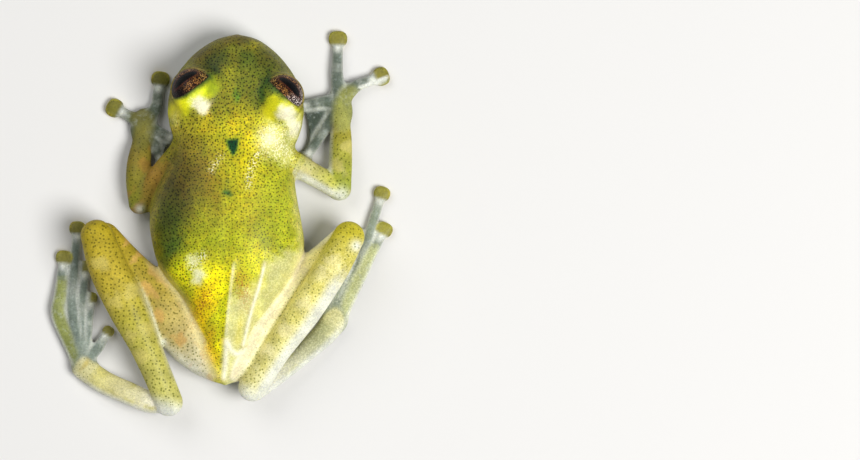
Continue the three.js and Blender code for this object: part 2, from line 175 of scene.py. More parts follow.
# The rounded end of the body, between the roots of the thighs
HIPS = [[2.15, 7.75, 1.5, 1.0, 1.15], [1.0, 8.58, 1.45, 1.0, 1.1], [-0.2, 8.95, 1.4, 0.98, 1.0],
        [-1.4, 8.6, 1.45, 1.0, 1.1], [-2.2, 7.9, 1.5, 1.0, 1.15]]

# Mouth, nostrils and ear drums
MOUTH_RISE = 1.4
MOUTH_CORNER_Y = -6.35
# Places on each side of the head, as [distance from the midline, y, z]
NOSTRIL = [0.52, -10.95, 3.16]
BEFORE_EYE = [1.75, -9.25, 3.6]
EAR = [3.9, -6.05, 2.75]
EAR_FOLD = [[3.72, -7.0, 3.5], [3.95, -6.4, 3.45], [4.05, -5.75, 3.05], [3.9, -5.2, 2.4]]

# The picture's grid: the size of a pixel, and the pixel over the middle of the model
PIXEL = 0.062
MIDDLE_PIXEL = (221.5, 222.8)

# Grid of the field: for each axis where it begins and ends, where its lines are closest together,
# and their steps there and far from there
GRID = [
    [-11.0, 11.0, -5.2, 3.4, 0.093, 0.14],
    [-12.4, 12.4, -12.0, -5.0, 0.093, 0.14],
    [-0.25, 5.5, 1.0, 1.8, 0.08, 0.11],
]
FAR = 2.0

# How far each piece of a limb melts into what it joins
MELTS = {"thigh": 0.32, "upper_arm": 0.4, "forearm": 0.34, "shank": 0.16, "tarsus": 0.2}
LIMB_REACH = 0.6          # how far round a limb its distances are worked out
RELAX_ROUNDS = 3


def seen(across, down):
    """The place in plan of a pixel of the picture."""
    return ((MIDDLE_PIXEL[0] - across) * PIXEL, (down - MIDDLE_PIXEL[1]) * PIXEL)


def grid_lines(low, high, fine_low, fine_high, fine, coarse):
    """Positions along an axis, closer together between fine_low and fine_high."""
    lines = [low]
    while lines[-1] < high:
        outside = max(fine_low - lines[-1], lines[-1] - fine_high, 0.0)
        lines.append(lines[-1] + fine + (coarse - fine) * min(outside, 1.0))
    return np.array(lines)


LINES = [grid_lines(*row) for row in GRID]


def window(low, high):
    """The part of the grid between two corners."""
    return tuple(
        slice(max(np.searchsorted(line, a) - 1, 0), min(np.searchsorted(line, b) + 1, len(line)))
        for line, a, b in zip(LINES, low, high))


def places(spot):
    """x, y and z of the grid points of a window, ready to be combined."""
    x, y, z = (line[part] for line, part in zip(LINES, spot))
    return x[:, None, None], y[None, :, None], z[None, None, :]


def distance_to(place, x, y, z):
    return np.sqrt((x - place[0]) ** 2 + (y - place[1]) ** 2 + (z - place[2]) ** 2)


def join(field, spot, shape, softness):
    """Adds a shape to the field, melted into what is there over a distance of softness."""
    here = field[spot]
    near = np.maximum(softness - np.abs(here - shape), 0) / softness
    field[spot] = np.minimum(here, shape) - near * near * softness / 4


def carve(field, spot, tool, softness):
    """Takes a shape away from the field, with an edge rounded by softness."""
    here = field[spot]
    near = np.maximum(softness - np.abs(here + tool), 0) / softness
    field[spot] = np.maximum(here, -tool) + near * near * softness / 4


def smooth_rows(rows, steps):
    """Rows of numbers on a smooth curve through the given rows."""
    rows = np.array(rows, float)
    gaps = np.linalg.norm(np.diff(rows[:, :3], axis=0), axis=1) ** 0.5
    knots = np.concatenate([[0.0], np.cumsum(gaps)])
    slopes = np.gradient(rows, knots, axis=0)
    at = np.linspace(0, knots[-1], steps)
    i = np.clip(np.searchsorted(knots, at, side="right") - 1, 0, len(knots) - 2)
    gap = (knots[i + 1] - knots[i])[:, None]
    s = (at - knots[i])[:, None] / gap
    start = (1 + 2 * s) * (1 - s) ** 2 * rows[i] + s * (1 - s) ** 2 * gap * slopes[i]
    end = s * s * (3 - 2 * s) * rows[i + 1] + s * s * (s - 1) * gap * slopes[i + 1]
    return start + end


def body_distance(x, y, z):
    """Roughly how far a point is outside head and trunk."""
    rows = smooth_rows(SECTIONS, 300)
    middle, half_width, top, bottom, level = (np.interp(y, rows[:, 0], rows[:, i]) for i in range(1, 6))
    across = np.abs(x - middle)
    above = z - level
    reach = np.maximum(np.where(above > 0, top - level, level - bottom), 0.02)
    power = (across / np.maximum(half_width, 0.02)) ** ROUNDNESS + (np.abs(above) / reach) ** ROUNDNESS
    radius = np.sqrt(across ** 2 + above ** 2)
    inside = radius * (1 - np.maximum(power, 1e-6) ** (-1 / ROUNDNESS))
    beyond = np.maximum(np.maximum(rows[0, 0] - y, y - rows[-1, 0]), 0)
    return np.where(beyond > 0, np.sqrt(np.maximum(inside, 0) ** 2 + beyond ** 2), inside)


def tube_distance(x, y, z, start, end):
    """How far a point is outside a straight piece of limb between two rows."""
    along = end[:3] - start[:3]
    length = np.linalg.norm(along)
    along = along / length
    side = np.cross(UP, along)
    side /= np.linalg.norm(side)
    above = np.cross(along, side)
    dx, dy, dz = x - start[0], y - start[1], z - start[2]
    travel = np.clip(dx * along[0] + dy * along[1] + dz * along[2], 0, length)
    width = start[3] + (end[3] - start[3]) * travel / length
    height = start[4] + (end[4] - start[4]) * travel / length
    dx, dy, dz = dx - travel * along[0], dy - travel * along[1], dz - travel * along[2]
    a = dx * side[0] + dy * side[1] + dz * side[2]
    b = dx * above[0] + dy * above[1] + dz * above[2]
    ahead = dx * along[0] + dy * along[1] + dz * along[2]
    share = np.sqrt((a / width) ** 2 + (b / height) ** 2 + (ahead / width) ** 2) + 1e-6
    return np.sqrt(a * a + b * b + ahead * ahead) * (1 - 1 / share)


def limb_rows(rows):
    """A limb's rows, close enough together that its pieces can be straight."""
    length = np.linalg.norm(np.diff(np.array(rows, float)[:, :3], axis=0), axis=1).sum()
    return smooth_rows(rows, max(int(length / 0.3), 4))


def tube_field(rows, reach):
    """A limb's distances on the grid, with the window that holds them."""
    dense = limb_rows(rows)
    room = dense[:, 3:5].max() + reach
    spot = window(dense[:, :3].min(0) - room, dense[:, :3].max(0) + room)
    shape = np.full([part.stop - part.start for part in spot], FAR)
    for start, end in zip(dense, dense[1:]):
        room = max(start[3], end[3], start[4]) + reach
        part = window(np.minimum(start[:3], end[:3]) - room, np.maximum(start[:3], end[:3]) + room)
        inner = tuple(slice(p.start - s.start, p.stop - s.start) for p, s in zip(part, spot))
        piece = tube_distance(*places(part), start, end)
        shape[inner] = np.minimum(shape[inner], piece)
    return spot, shape


def plan_distance(x, y, outline):
    """Distance in plan to a closed outline, negative inside."""
    nearest = np.inf
    inside = False
    for (ax, ay), (bx, by) in zip(outline, np.roll(outline, -1, axis=0)):
        ex, ey = bx - ax, by - ay
        share = np.clip(((x - ax) * ex + (y - ay) * ey) / (ex * ex + ey * ey + 1e-12), 0, 1)
        nearest = np.minimum(nearest, (x - ax - ex * share) ** 2 + (y - ay - ey * share) ** 2)
        if by != ay:
            inside = inside ^ (((ay > y) != (by > y)) & (x < ex * (y - ay) / ey + ax))
    return np.where(inside, -1, 1) * np.sqrt(nearest)


def digit_rows(digit, size):
    """The rows of a finger or toe, thicker at its joints and slender before the disc."""
    root, knuckle, tip = (np.array(p, float) for p in digit)
    before_tip = knuckle + 0.62 * (tip - knuckle)
    between = knuckle + 0.3 * (tip - knuckle)
    lower = (DIGIT_RISE + TIP_RISE) / 2
    return [
        [*root, DIGIT_RISE, size["root"], size["height"]],
        [*knuckle, DIGIT_RISE, size["width"] * 1.04, size["height"]],
        [*between, DIGIT_RISE, size["width"] * 0.93, size["height"] * 0.96],
        [*before_tip, lower, size["width"] * 0.9, size["height"] * 0.92],
        [*tip, TIP_RISE, size["width"] * 0.84, size["height"] * 0.8],
    ]


def disc_distance(x, y, z, digit, radius):
    """The flat pad at the tip, a little wider than long, and blunt in front."""
    before, tip = (np.array(p, float) for p in digit[1:])
    ahead = (tip - before) / np.linalg.norm(tip - before)
    dx, dy, dz = x - tip[0], y - tip[1], z - DISC_HEIGHT * 0.85
    along = dx * ahead[0] + dy * ahead[1]
    across = dx * ahead[1] - dy * ahead[0]
    share = ((np.abs(along) / (radius * 0.93)) ** 2.6 + (np.abs(across) / (radius * 1.07)) ** 2.6
             + (np.abs(dz) / DISC_HEIGHT) ** 2.6) ** (1 / 2.6) + 1e-6
    return np.sqrt(along ** 2 + across ** 2 + dz ** 2) * (1 - 1 / share)


def web_outline(digit_a, digit_b, shares):
    """The outline in plan of the skin between two digits."""
    sides = []
    for digit, share in zip((digit_a, digit_b), shares[:2]):
        curve = smooth_rows([[*p, 0.0] for p in digit], 61)[:, :2]
        sides.append(curve[:int(round(share * 60)) + 1:4])
    out, back = sides[0], sides[1][::-1]
    pull = (out[-1] + back[0]) / 2
    pull = pull + (out[0] - pull) * shares[2]
    t = np.linspace(0, 1, 9)[1:-1, None]
    edge = (1 - t) ** 2 * out[-1] + 2 * t * (1 - t) * pull + t * t * back[0]
    return np.vstack([out, edge, back])


def add_webs(field, part):
    """The thin skin between the digits, a little slack."""
    digits = part["digits"]
    for shares, digit_a, digit_b in zip(part["webs"], digits, digits[1:]):
        outline = web_outline(digit_a, digit_b, shares)
        low, high = outline.min(0) - 0.6, outline.max(0) + 0.6
        spot = window((*low, -0.2), (*high, 1.3))
        x, y, z = places(spot)
        side = plan_distance(x, y, outline)
        slack = 0.03 * np.sin(4.1 * x + 1.7 * y) + 0.03 * np.sin(2.3 * y - 3.7 * x)
        lift = np.abs(z - WEB_RISE - slack) - WEB_THICKNESS / 2
        sheet = np.minimum(np.maximum(side, lift), 0)
        sheet = sheet + np.sqrt(np.maximum(side, 0) ** 2 + np.maximum(lift, 0) ** 2)
        join(field, spot, sheet, 0.22)


def palm_rows(part):
    return [[*place, PALM["rise"], PALM["width"], PALM["height"]] for place in part["palm"]]


def add_extremity(field, name):
    """A palm or foot with its digits, their discs and the webs between them."""
    part = EXTREMITIES[name]
    size = FINGER if name.startswith("hand") else TOE
    join(field, *tube_field(palm_rows(part), 0.5), 0.45)
    for digit, disc in zip(part["digits"], size["discs"]):
        join(field, *tube_field(digit_rows(digit, size), 0.4), 0.2)
        tip = np.array(digit[2])
        spot = window((*(tip - 1.0), -0.2), (*(tip + 1.0), 1.2))
        join(field, spot, disc_distance(*places(spot), digit, disc), 0.12)
    add_webs(field, part)


def gaze_of(side):
    """Unit vectors of an eye: forward along the gaze, towards the rear corner, and up."""
    heading = math.radians(EYES[side]["heading"])
    lift = math.radians(GAZE_LIFT)
    out = 1 if side == "left" else -1
    gaze = np.array([out * math.sin(heading) * math.cos(lift), -math.cos(heading) * math.cos(lift),
                     math.sin(lift)])
    rearwards = np.cross(gaze, UP) * -out
    rearwards /= np.linalg.norm(rearwards)
    upwards = np.cross(rearwards, gaze)
    return gaze, rearwards, upwards * np.sign(upwards[2])


def lid_opening(x, y, z, side):
    """Negative where the lids are open, in millimetres along the eye."""
    gaze, rearwards, upwards = gaze_of(side)
    centre = EYES[side]["centre"]
    dx, dy, dz = x - centre[0], y - centre[1], z - centre[2]
    forward, behind, above = (dx * v[0] + dy * v[1] + dz * v[2] for v in (gaze, rearwards, upwards))
    radius = np.sqrt(forward ** 2 + behind ** 2 + above ** 2) + 1e-6
    turn = np.degrees(np.arctan2(behind, forward))
    lift = np.degrees(np.arcsin(np.clip(above / radius, -1, 1)))
    share = turn / np.where(turn > 0, LID_REAR, EYES[side]["front"])
    bow = np.maximum(1 - np.abs(share) ** 2.2, 0) ** 0.75
    corner = CORNER_LIFT - CORNER_TILT * share
    upper = corner + (EYES[side]["upper"] - corner) * bow
    lower = corner + (LOWER_LID - corner) * bow
    gap = np.maximum(np.maximum(lift - upper, lower - lift), (np.abs(share) - 1) * 60)
    return np.radians(gap) * radius


def add_eyelids(field):
    """Skin round each eyeball, then the openings between the lids."""
    around = {}
    for side, eye in EYES.items():
        centre = np.array(eye["centre"])
        spot = window(centre - EYE_ROOM, centre + EYE_ROOM)
        around[side] = (spot, distance_to(centre, *places(spot)))
    for spot, radius in around.values():
        join(field, spot, radius - EYE_RADIUS - LID_THICKNESS, 0.5)
    for side, (spot, radius) in around.items():
        opening = np.maximum(lid_opening(*places(spot), side), EYE_RADIUS * 0.7 - radius)
        carve(field, spot, opening, 0.07)


def bell(distance, width):
    """1 at no distance, falling off smoothly over the width."""
    return np.exp(-(distance / width) ** 2)


def step_up(value, low, high):
    """0 below low and 1 above high, with a smooth rise between."""
    share = np.clip((value - low) / (high - low), 0, 1)
    return share * share * (3 - 2 * share)


def line_distance(points, line):
    """Distance from points, given as one array per axis, to a line through the given corners."""
    nearest = np.inf
    for start, end in zip(line, line[1:]):
        edge = [b - a for a, b in zip(start, end)]
        offsets = [p - a for p, a in zip(points, start)]
        share = np.clip(sum(o * e for o, e in zip(offsets, edge)) / sum(e * e for e in edge), 0, 1)
        nearest = np.minimum(nearest, sum((o - e * share) ** 2 for o, e in zip(offsets, edge)))
    return np.sqrt(nearest)


def curve_of(*pixels):
    """A smooth line in plan through pixels of the picture."""
    return smooth_rows([[*seen(*pixel), 0.0] for pixel in pixels], 6 * len(pixels))[:, :2].tolist()


# Ridges and creases of the back, as lines through pixels of the picture
RIGHT_ILIUM = curve_of((266, 262), (261, 283), (252, 312), (244, 345))
LEFT_ILIUM = curve_of((203, 262), (206, 285), (212, 315), (217, 345))
TAIL_BONE = curve_of((235, 262), (230, 298), (226, 335))
RIGHT_GROIN = curve_of((306, 251), (291, 284), (271, 314), (255, 336), (245, 355), (233, 376))
LEFT_GROIN = curve_of((151.5, 260), (164.6, 276.5), (180.8, 297), (188.1, 311.7), (196.9, 333.7),
                      (205.7, 355.7), (214, 376))
VENT_RIGHT = curve_of((246, 352), (238, 361), (233, 378))
VENT_LEFT = curve_of((227, 340), (226, 360), (224, 378))
VENT_FOLD = curve_of((228, 341), (232, 350), (238, 354), (245, 350))
RIDGES = [  # line, height (negative where it is a crease), width
    [RIGHT_ILIUM, 0.19, 0.14],
    [LEFT_ILIUM, 0.06, 0.3],
    [TAIL_BONE, 0.09, 0.22],
    [VENT_RIGHT, 0.07, 0.13],
    [VENT_LEFT, 0.07, 0.13],
    [VENT_FOLD, 0.06, 0.12],
    [RIGHT_GROIN, -0.05, 0.12],
    [LEFT_GROIN, -0.05, 0.12],
]


def add_back_relief(field):
    """Hip and tail bones, folds of the groin and vent, and the shoulders, raised or sunk in the back."""
    spot = window((-6.0, -12.0, 1.6), (5.4, 10.6, 6.0))
    x, y, z = places(spot)
    plan = (x, y)
    high = step_up(z, 1.7, 2.4)
    rise = sum(height * bell(line_distance(plan, line), width) for line, height, width in RIDGES)
    spine = MIDLINE + 0.45 * step_up(y, -6, 1)
    rise = rise - 0.05 * bell(x - spine, 0.35) * step_up(y, -5.5, -3.5) * (1 - step_up(y, 1.0, 2.5))
    rise = rise - 0.12 * bell(np.hypot(x - MIDLINE, (y + 8.3) * 0.8), 0.9)
    for shoulder in (1.7, -1.7):
        rise = rise + 0.05 * bell(np.hypot(x - spine - shoulder, (y + 2.6) * 0.6), 0.7)
    field[spot] -= rise * high


def on_head(out, place):
    """A place on the head's left side where out is 1, on its right side where it is -1."""
    return np.array([MIDLINE + out * place[0], *place[1:]])


def add_face(field):
    """Mouth, lips, nostrils, canthus, ear drums and the fold behind each eye."""
    spot = window((-6.0, -12.4, -0.3), (4.2, -4.0, 5.4))
    x, y, z = places(spot)
    mouth = z - MOUTH_RISE - 0.012 * (y + 11.68) - 0.16 * step_up(y, -8.0, MOUTH_CORNER_Y)
    ahead = 1 - step_up(y, MOUTH_CORNER_Y - 0.5, MOUTH_CORNER_Y + 0.1)
    lips = 0.05 * bell(mouth - 0.2, 0.15) + 0.03 * bell(mouth + 0.2, 0.15)
    rise = (lips - 0.13 * bell(mouth, 0.075)) * ahead
    rise = rise - 0.05 * bell(z - 2.35, 0.4) * (1 - step_up(y, -9.6, -8.8)) * step_up(y, -11.4, -10.6)
    for out in (1, -1):
        canthus = [on_head(out, NOSTRIL), on_head(out, BEFORE_EYE)]
        rise = rise + 0.07 * bell(line_distance((x, y, z), canthus), 0.28)
        fold = [on_head(out, place) for place in EAR_FOLD]
        rise = rise + 0.09 * bell(line_distance((x, y, z), fold), 0.17)
        drum = distance_to(on_head(out, EAR), x, y, z)
        rise = rise + 0.045 * bell(drum - 0.36, 0.09) - 0.04 * bell(drum, 0.25)
    field[spot] -= rise
    for out in (1, -1):
        place = on_head(out, NOSTRIL)
        spot = window(place - 0.8, place + 0.8)
        x, y, z = places(spot)
        join(field, spot, distance_to(place, x, y, z) - 0.12, 0.3)
        pit = place + (out * 0.13, -0.1, 0.12)
        bore = np.sqrt((x - pit[0]) ** 2 + (y - pit[1]) ** 2 + ((z - pit[2]) * 0.8) ** 2) - 0.085
        carve(field, spot, bore, 0.06)


def build_field():
    """Distances to the whole skin on the grid, negative inside, and cut off level at the floor."""
    field = np.full([len(line) for line in LINES], FAR)
    spot = window((-6.2, -12.4, -1.0), (5.4, 10.8, 6.0))
    body = body_distance(*places(spot))
    lines = [line[part] for line, part in zip(LINES, spot)]
    slope = np.sqrt(sum(g * g for g in np.gradient(body, *lines)))
    join(field, spot, body / np.clip(slope, 0.6, 3.0), 0.05)
    join(field, *tube_field(HIPS, LIMB_REACH), 0.5)
    for side in ("left", "right"):
        for name, softness in MELTS.items():
            join(field, *tube_field(LIMBS[f"{name}_{side}"], LIMB_REACH), softness)
        add_extremity(field, f"hand_{side}")
        add_extremity(field, f"foot_{side}")
    add_back_relief(field)
    add_face(field)
    add_eyelids(field)
    return np.maximum(field, -LINES[2])


# The corners of a cell, and its edges as pairs of corners
CORNERS = [(0, 0, 0), (1, 0, 0), (0, 1, 0), (1, 1, 0), (0, 0, 1), (1, 0, 1), (0, 1, 1), (1, 1, 1)]
CELL_EDGES = [(a, b) for a in range(8) for b in range(a + 1, 8)
              if sum(abs(p - q) for p, q in zip(CORNERS[a], CORNERS[b])) == 1]


def surface_of(field):
    """Vertices and four-sided faces of the surface where the field is zero."""
    inside = field < 0
    count = sum(inside[tuple(slice(c, n - 1 + c) for c, n in zip(corner, field.shape))].astype(np.int8)
                for corner in CORNERS)
    cells = np.argwhere((count > 0) & (count < 8))
    total = np.zeros((len(cells), 3))
    hits = np.zeros((len(cells), 1))
    for a, b in CELL_EDGES:
        at_a, at_b = cells + CORNERS[a], cells + CORNERS[b]
        value_a, value_b = field[tuple(at_a.T)], field[tuple(at_b.T)]
        crossing = (value_a < 0) != (value_b < 0)
        share = np.where(crossing, value_a / np.where(crossing, value_a - value_b, 1), 0)[:, None]
        place_a = np.stack([line[i] for line, i in zip(LINES, at_a.T)], 1)
        place_b = np.stack([line[i] for line, i in zip(LINES, at_b.T)], 1)
        total += np.where(crossing[:, None], place_a + (place_b - place_a) * share, 0)
        hits += crossing[:, None]
    index = np.full([n - 1 for n in field.shape], -1, np.int32)
    index[tuple(cells.T)] = np.arange(len(cells))
    faces = []
    for axis in range(3):
        shift = np.eye(3, dtype=int)[axis]
        low = inside[tuple(slice(0, n - s) for n, s in zip(field.shape, shift))]
        high = inside[tuple(slice(s, n) for n, s in zip(field.shape, shift))]
        edges = np.argwhere(low != high)
        u, v = np.eye(3, dtype=int)[(axis + 1) % 3], np.eye(3, dtype=int)[(axis + 2) % 3]
        quad = np.stack([index[tuple((edges - back).T)] for back in (u + v, v, 0 * u, u)], 1)
        rising = low[tuple(edges.T)]
        quad[~rising] = quad[~rising][:, ::-1]
        faces.append(quad)
    return total / hits, np.vstack(faces)


def sample(values, points):
    """Values of a grid at points between its lines."""
    corner, share = [], []
    for axis, line in enumerate(LINES):
        i = np.clip(np.searchsorted(line, points[:, axis]) - 1, 0, len(line) - 2)
        corner.append(i)
        share.append((points[:, axis] - line[i]) / (line[i + 1] - line[i]))
    result = 0
    for dx, dy, dz in CORNERS:
        weight = ((share[0] if dx else 1 - share[0]) * (share[1] if dy else 1 - share[1])
                  * (share[2] if dz else 1 - share[2]))
        result = result + weight * values[corner[0] + dx, corner[1] + dy, corner[2] + dz]
    return result


def relax(points, faces, field):
    """Evens out the spacing of the vertices, and puts them back on the surface."""
    slopes = np.gradient(field, *LINES)
    for _ in range(RELAX_ROUNDS):
        total = np.zeros_like(points)
        count = np.zeros((len(points), 1))
        for corner in range(4):
            here = faces[:, corner]
            for there in (faces[:, corner - 1], faces[:, (corner + 1) % 4]):
                for axis in range(3):
                    total[:, axis] += np.bincount(here, points[there, axis], len(points))
                count[:, 0] += np.bincount(here, minlength=len(points))
        points = points + 0.5 * (total / np.maximum(count, 1) - points)
        value = sample(field, points)
        slope = np.stack([sample(s, points) for s in slopes], 1)
        size = np.maximum((slope ** 2).sum(1), 0.25)
        move = np.clip(value / size, -0.05, 0.05)
        points = points - move[:, None] * slope
    points[:, 2] = np.maximum(points[:, 2], 0)
    return points


def make_mesh(name, points, faces):
    mesh = bpy.data.meshes.new(name)
    mesh.from_pydata((points * MM).tolist(), [], faces)
    mesh.polygons.foreach_set("use_smooth", np.ones(len(faces), bool))
    mesh.update()
    thing = bpy.data.objects.new(name, mesh)
    bpy.context.scene.collection.objects.link(thing)
    return thing


def linear(*levels):
    """A colour as read from a screen, 0 to 255, in the renderer's linear scale."""
    return np.array([((v / 255 + 0.055) / 1.055) ** 2.4 for v in levels])


# Colours of the skin, as read from a screen
BACK = (178, 178, 34)
HEAD = (132, 130, 36)
DEEP_GREEN = (0, 64, 30)
YELLOW = (236, 228, 20)
LEMON = (232, 242, 24)
FRECKLED_YELLOW = (196, 186, 56)
PALE = (250, 246, 214)
CREAM = (211, 208, 136)
GROIN = (240, 228, 186)
# Pale skin, also laid on as painted highlight along edges of limbs and digits
PALE_SKIN_AND_SHEEN = (224, 226, 215)
THROAT = (160, 172, 146)
CLEAR = (78, 96, 88)
VEIN = (216, 222, 210)
BLOOD = (176, 50, 56)
FLANK = (190, 182, 96)
FLANK_EDGE = (152, 140, 60)
WEDGE_RIM = (80, 150, 40)
SPOT_GREEN = (8, 92, 44)
LEFT_GROIN_COLOUR = (216, 204, 144)
THROAT_POUCH = (184, 194, 168)
DISC_RIM = (176, 170, 70)
DISC_EDGE_BELOW = (226, 204, 44)
LEFT_TOE_BAND = (138, 144, 72)
RIGHT_TOE_BAND = (188, 192, 132)
LID_GREEN = (44, 78, 34)
LID_RIM = (52, 40, 24)
LOWER_LID_RIM = (150, 132, 74)
# Of each hand and foot: the digits, the webs, the discs, and how milky the digits' edges are, a pale edge
# painted as highlight
CLEAR_SKIN = {
    # The left hand's colours are darker than the right's partly as painted shade
    "hand_left": {"skin": (84, 94, 78), "web": (78, 88, 78), "disc": (114, 110, 36), "milk_and_sheen": 0.4},
    "hand_right": {"skin": (96, 107, 94), "web": (84, 95, 84), "disc": (138, 131, 50), "milk_and_sheen": 0.5},
    "foot_left": {"skin": (118, 130, 118), "web": (104, 117, 114), "disc": (134, 128, 52), "milk_and_sheen": 0.6},
    "foot_right": {"skin": (132, 142, 122), "web": (112, 124, 116), "disc": (146, 140, 52), "milk_and_sheen": 0.7},
}

# Marks of the back: [name, colour, pixel of the middle, half length, half width, degrees turned, strength],
# and how crisp the edge is, where that isn't 2. Half length is along the frog when nothing is turned.
# Fine dots are sparse on the marks whose name starts with yellow.
MARKS = [
    ["left shoulder", (102, 84, 30), (194, 178), 2.7, 1.5, 12, 0.85],
    ["left shoulder blade", (132, 112, 36), (212, 198), 1.9, 0.75, 14, 0.6],
    ["left side of neck", (164, 146, 48), (190, 146), 1.5, 0.9, 0, 0.75],
    # The left flank, low left flank and left waist are dark green partly in their own colour and partly as
    # painted shade of the side turned from the light
    ["left flank", (88, 76, 30), (177, 193), 2.7, 1.5, 12, 0.92, 2.8],
    ["left flank, low", (66, 82, 30), (171, 228), 2.2, 1.2, -4, 0.92, 2.8],
    ["left waist", (60, 92, 40), (173, 254), 1.2, 0.75, -26, 0.92, 2.8],
    ["left of middle", (150, 152, 36), (206, 226), 2.2, 0.9, 0, 0.7],
    ["middle of back", (210, 196, 20), (246, 176), 2.2, 0.8, 0, 0.7],
    ["centre of back", (180, 176, 38), (250, 208), 2.2, 1.2, 0, 0.7],
    ["right of back", (176, 184, 44), (280, 215), 2.6, 1.2, 0, 0.75],
    ["dim, right of back", (156, 160, 32), (266, 232), 1.1, 0.9, 0, 0.6],
    ["lower back", (168, 178, 26), (228, 240), 0.9, 2.2, 0, 0.6],
    ["lower back spot", YELLOW, (261, 255), 0.55, 0.42, 20, 0.9],
    ["right flank", (216, 212, 120), (302, 225), 3.4, 0.42, 6, 0.85, 2.6],
    ["green of snout", (70, 96, 34), (246, 60), 0.9, 1.9, 0, 0.8],
    ["snout, left", (108, 92, 32), (207, 56), 0.9, 1.5, -20, 0.85],
    ["snout, dark", (72, 82, 30), (222, 58), 0.7, 0.9, 20, 0.85],
    ["snout tip", (112, 96, 34), (236, 39), 0.4, 1.3, 0, 0.85],
    ["snout, middle", (128, 128, 40), (236, 51), 0.5, 0.5, 0, 0.6],
    ["snout, right", (176, 164, 36), (257, 46), 0.3, 0.35, 30, 0.6],
    ["snout, far right", (104, 98, 32), (268, 60), 0.9, 0.7, 30, 0.8],
    ["forehead", (168, 164, 38), (230, 75), 0.75, 0.5, -20, 0.75],
    ["between the eyes", (120, 130, 40), (250, 84), 0.9, 1.0, 0, 0.65],
    ["between the eyes, left", (150, 146, 40), (226, 92), 0.7, 0.6, 0, 0.6],
    ["beside the left eye", (50, 68, 28), (214, 70), 0.95, 0.6, 30, 0.95],
    ["beside the right eye", (64, 80, 28), (268, 76), 0.9, 0.5, -20, 0.85],
    ["behind the right eye", (20, 70, 34), (263, 98), 1.15, 0.45, -12, 1.0],
    ["over the right eye", (84, 112, 34), (275, 96), 0.6, 0.85, -35, 0.8],
    ["smudge", (60, 134, 44), (237.5, 97), 0.5, 0.22, 0, 0.7],
    ["yellow, left", LEMON, (196, 99), 0.56, 1.4, 36, 1.0, 3],
    ["yellow, left front", (150, 166, 28), (212, 87), 0.5, 0.5, 30, 0.9],
    ["yellow, left cheek", (244, 242, 16), (181, 109), 0.56, 0.85, 20, 1.0, 3],
    ["yellow, right", (238, 236, 20), (287, 110), 0.42, 1.0, -38, 1.0, 3],
    ["yellow, right inner", (222, 218, 24), (272, 112), 0.8, 0.5, 0, 0.9, 2.4],
    ["neck, yellow", (214, 206, 30), (264, 130), 1.2, 0.9, 20, 0.8, 2.4],
    ["nape", (214, 196, 26), (240, 124), 0.9, 0.9, 0, 0.75],
    ["left of nape", (206, 184, 34), (208, 124), 0.8, 0.5, 0, 0.7],
    ["right of the wedge", (222, 206, 16), (252, 148), 1.2, 0.75, 0, 0.85],
    ["left of the wedge", (188, 172, 30), (221, 150), 0.9, 0.6, 0, 0.7],
    ["cheek, left", (196, 182, 60), (176, 118), 1.0, 0.5, 0, 0.7],
    ["rump, left yellow green", (226, 226, 28), (182, 276), 1.7, 1.0, -34, 0.95, 2.6],
    ["rump, yellow", (255, 250, 10), (214, 284), 1.35, 1.05, -6, 1.0, 2.8],
    ["rump, yellow stripe", (255, 226, 14), (198, 318), 3.0, 0.78, -22, 1.0, 3],
    ["rump, low stripe", (246, 212, 34), (211, 352), 1.7, 0.7, -16, 1.0, 2.6],
    ["rump, green stripe", (204, 206, 22), (220, 324), 1.6, 0.34, -8, 0.9, 2.6],
    ["rump, bright spot", (255, 246, 4), (220, 347), 0.28, 0.24, 0, 1.0],
    ["rump, end", (236, 220, 84), (214, 374), 0.5, 1.1, 0, 0.9],
]
# Rusty clouds, as marks without a colour
RUST = [
    ["rust, left", (205, 303), 1.5, 0.5, -25, 1.0],
    ["rust, low left", (209, 345), 1.2, 0.4, -14, 0.5],
    ["rust, right", (244, 288), 1.2, 0.5, 12, 0.9],
    ["rust, middle of back", (250, 206), 1.9, 0.9, 0, 0.2],
    ["rust, shoulder", (214, 176), 1.6, 0.7, 10, 0.3],
]
# Painted highlights: pale patches standing for the shine of the lights on the wet skin; after the colour
# comes how much of each is made of small flecks
PAINTED_HIGHLIGHTS = [
    ["left cheek", (246, 241, 206), 0.5, (203, 107), 0.46, 0.52, 20, 1.0, 3.6],
    ["left cheek, front", PALE, 0.8, (197, 103), 0.26, 0.34, 20, 0.7],
    ["left of neck", CREAM, 0.3, (174, 121), 0.42, 0.3, 0, 0.2],
    ["right cheek", (249, 244, 212), 0.3, (288, 115), 0.5, 0.66, -20, 1.0, 4],
    ["right of neck", (244, 240, 206), 0.5, (295, 128), 0.7, 0.46, 10, 0.9, 3],
    ["right shoulder", (232, 230, 150), 0.8, (276, 142), 1.05, 1.05, 25, 0.55, 3.4],
    ["right shoulder, middle", (244, 242, 200), 0.6, (271, 138), 0.55, 0.5, 25, 0.7],
    ["under the right shoulder", (228, 226, 130), 0.7, (286, 156), 0.6, 0.6, 0, 0.5, 3],
    ["left of rump", (240, 240, 184), 0.8, (194, 260), 0.36, 0.3, -25, 0.75, 2.4],
    ["left of rump, low", (244, 244, 200), 0.6, (200, 276), 0.5, 0.32, -25, 0.85, 2.4],
]
# The dark wedge of the nape, and the dark spots
WEDGE = [seen(228.3, 141.1), seen(233.5, 140.6), seen(238.9, 140), seen(238.3, 146.7), seen(235.6, 153.3),
         seen(233.9, 155), seen(230, 147.8)]
BACK_SPOTS = [  # pixel, radius, strength
    [(229.5, 193.2), 0.25, 1.0],
    [(226.3, 192), 0.16, 0.9],
    [(232.5, 195.5), 0.14, 0.8],
    [(229, 181), 0.18, 0.5],
    [(228, 186), 0.12, 0.3],
]
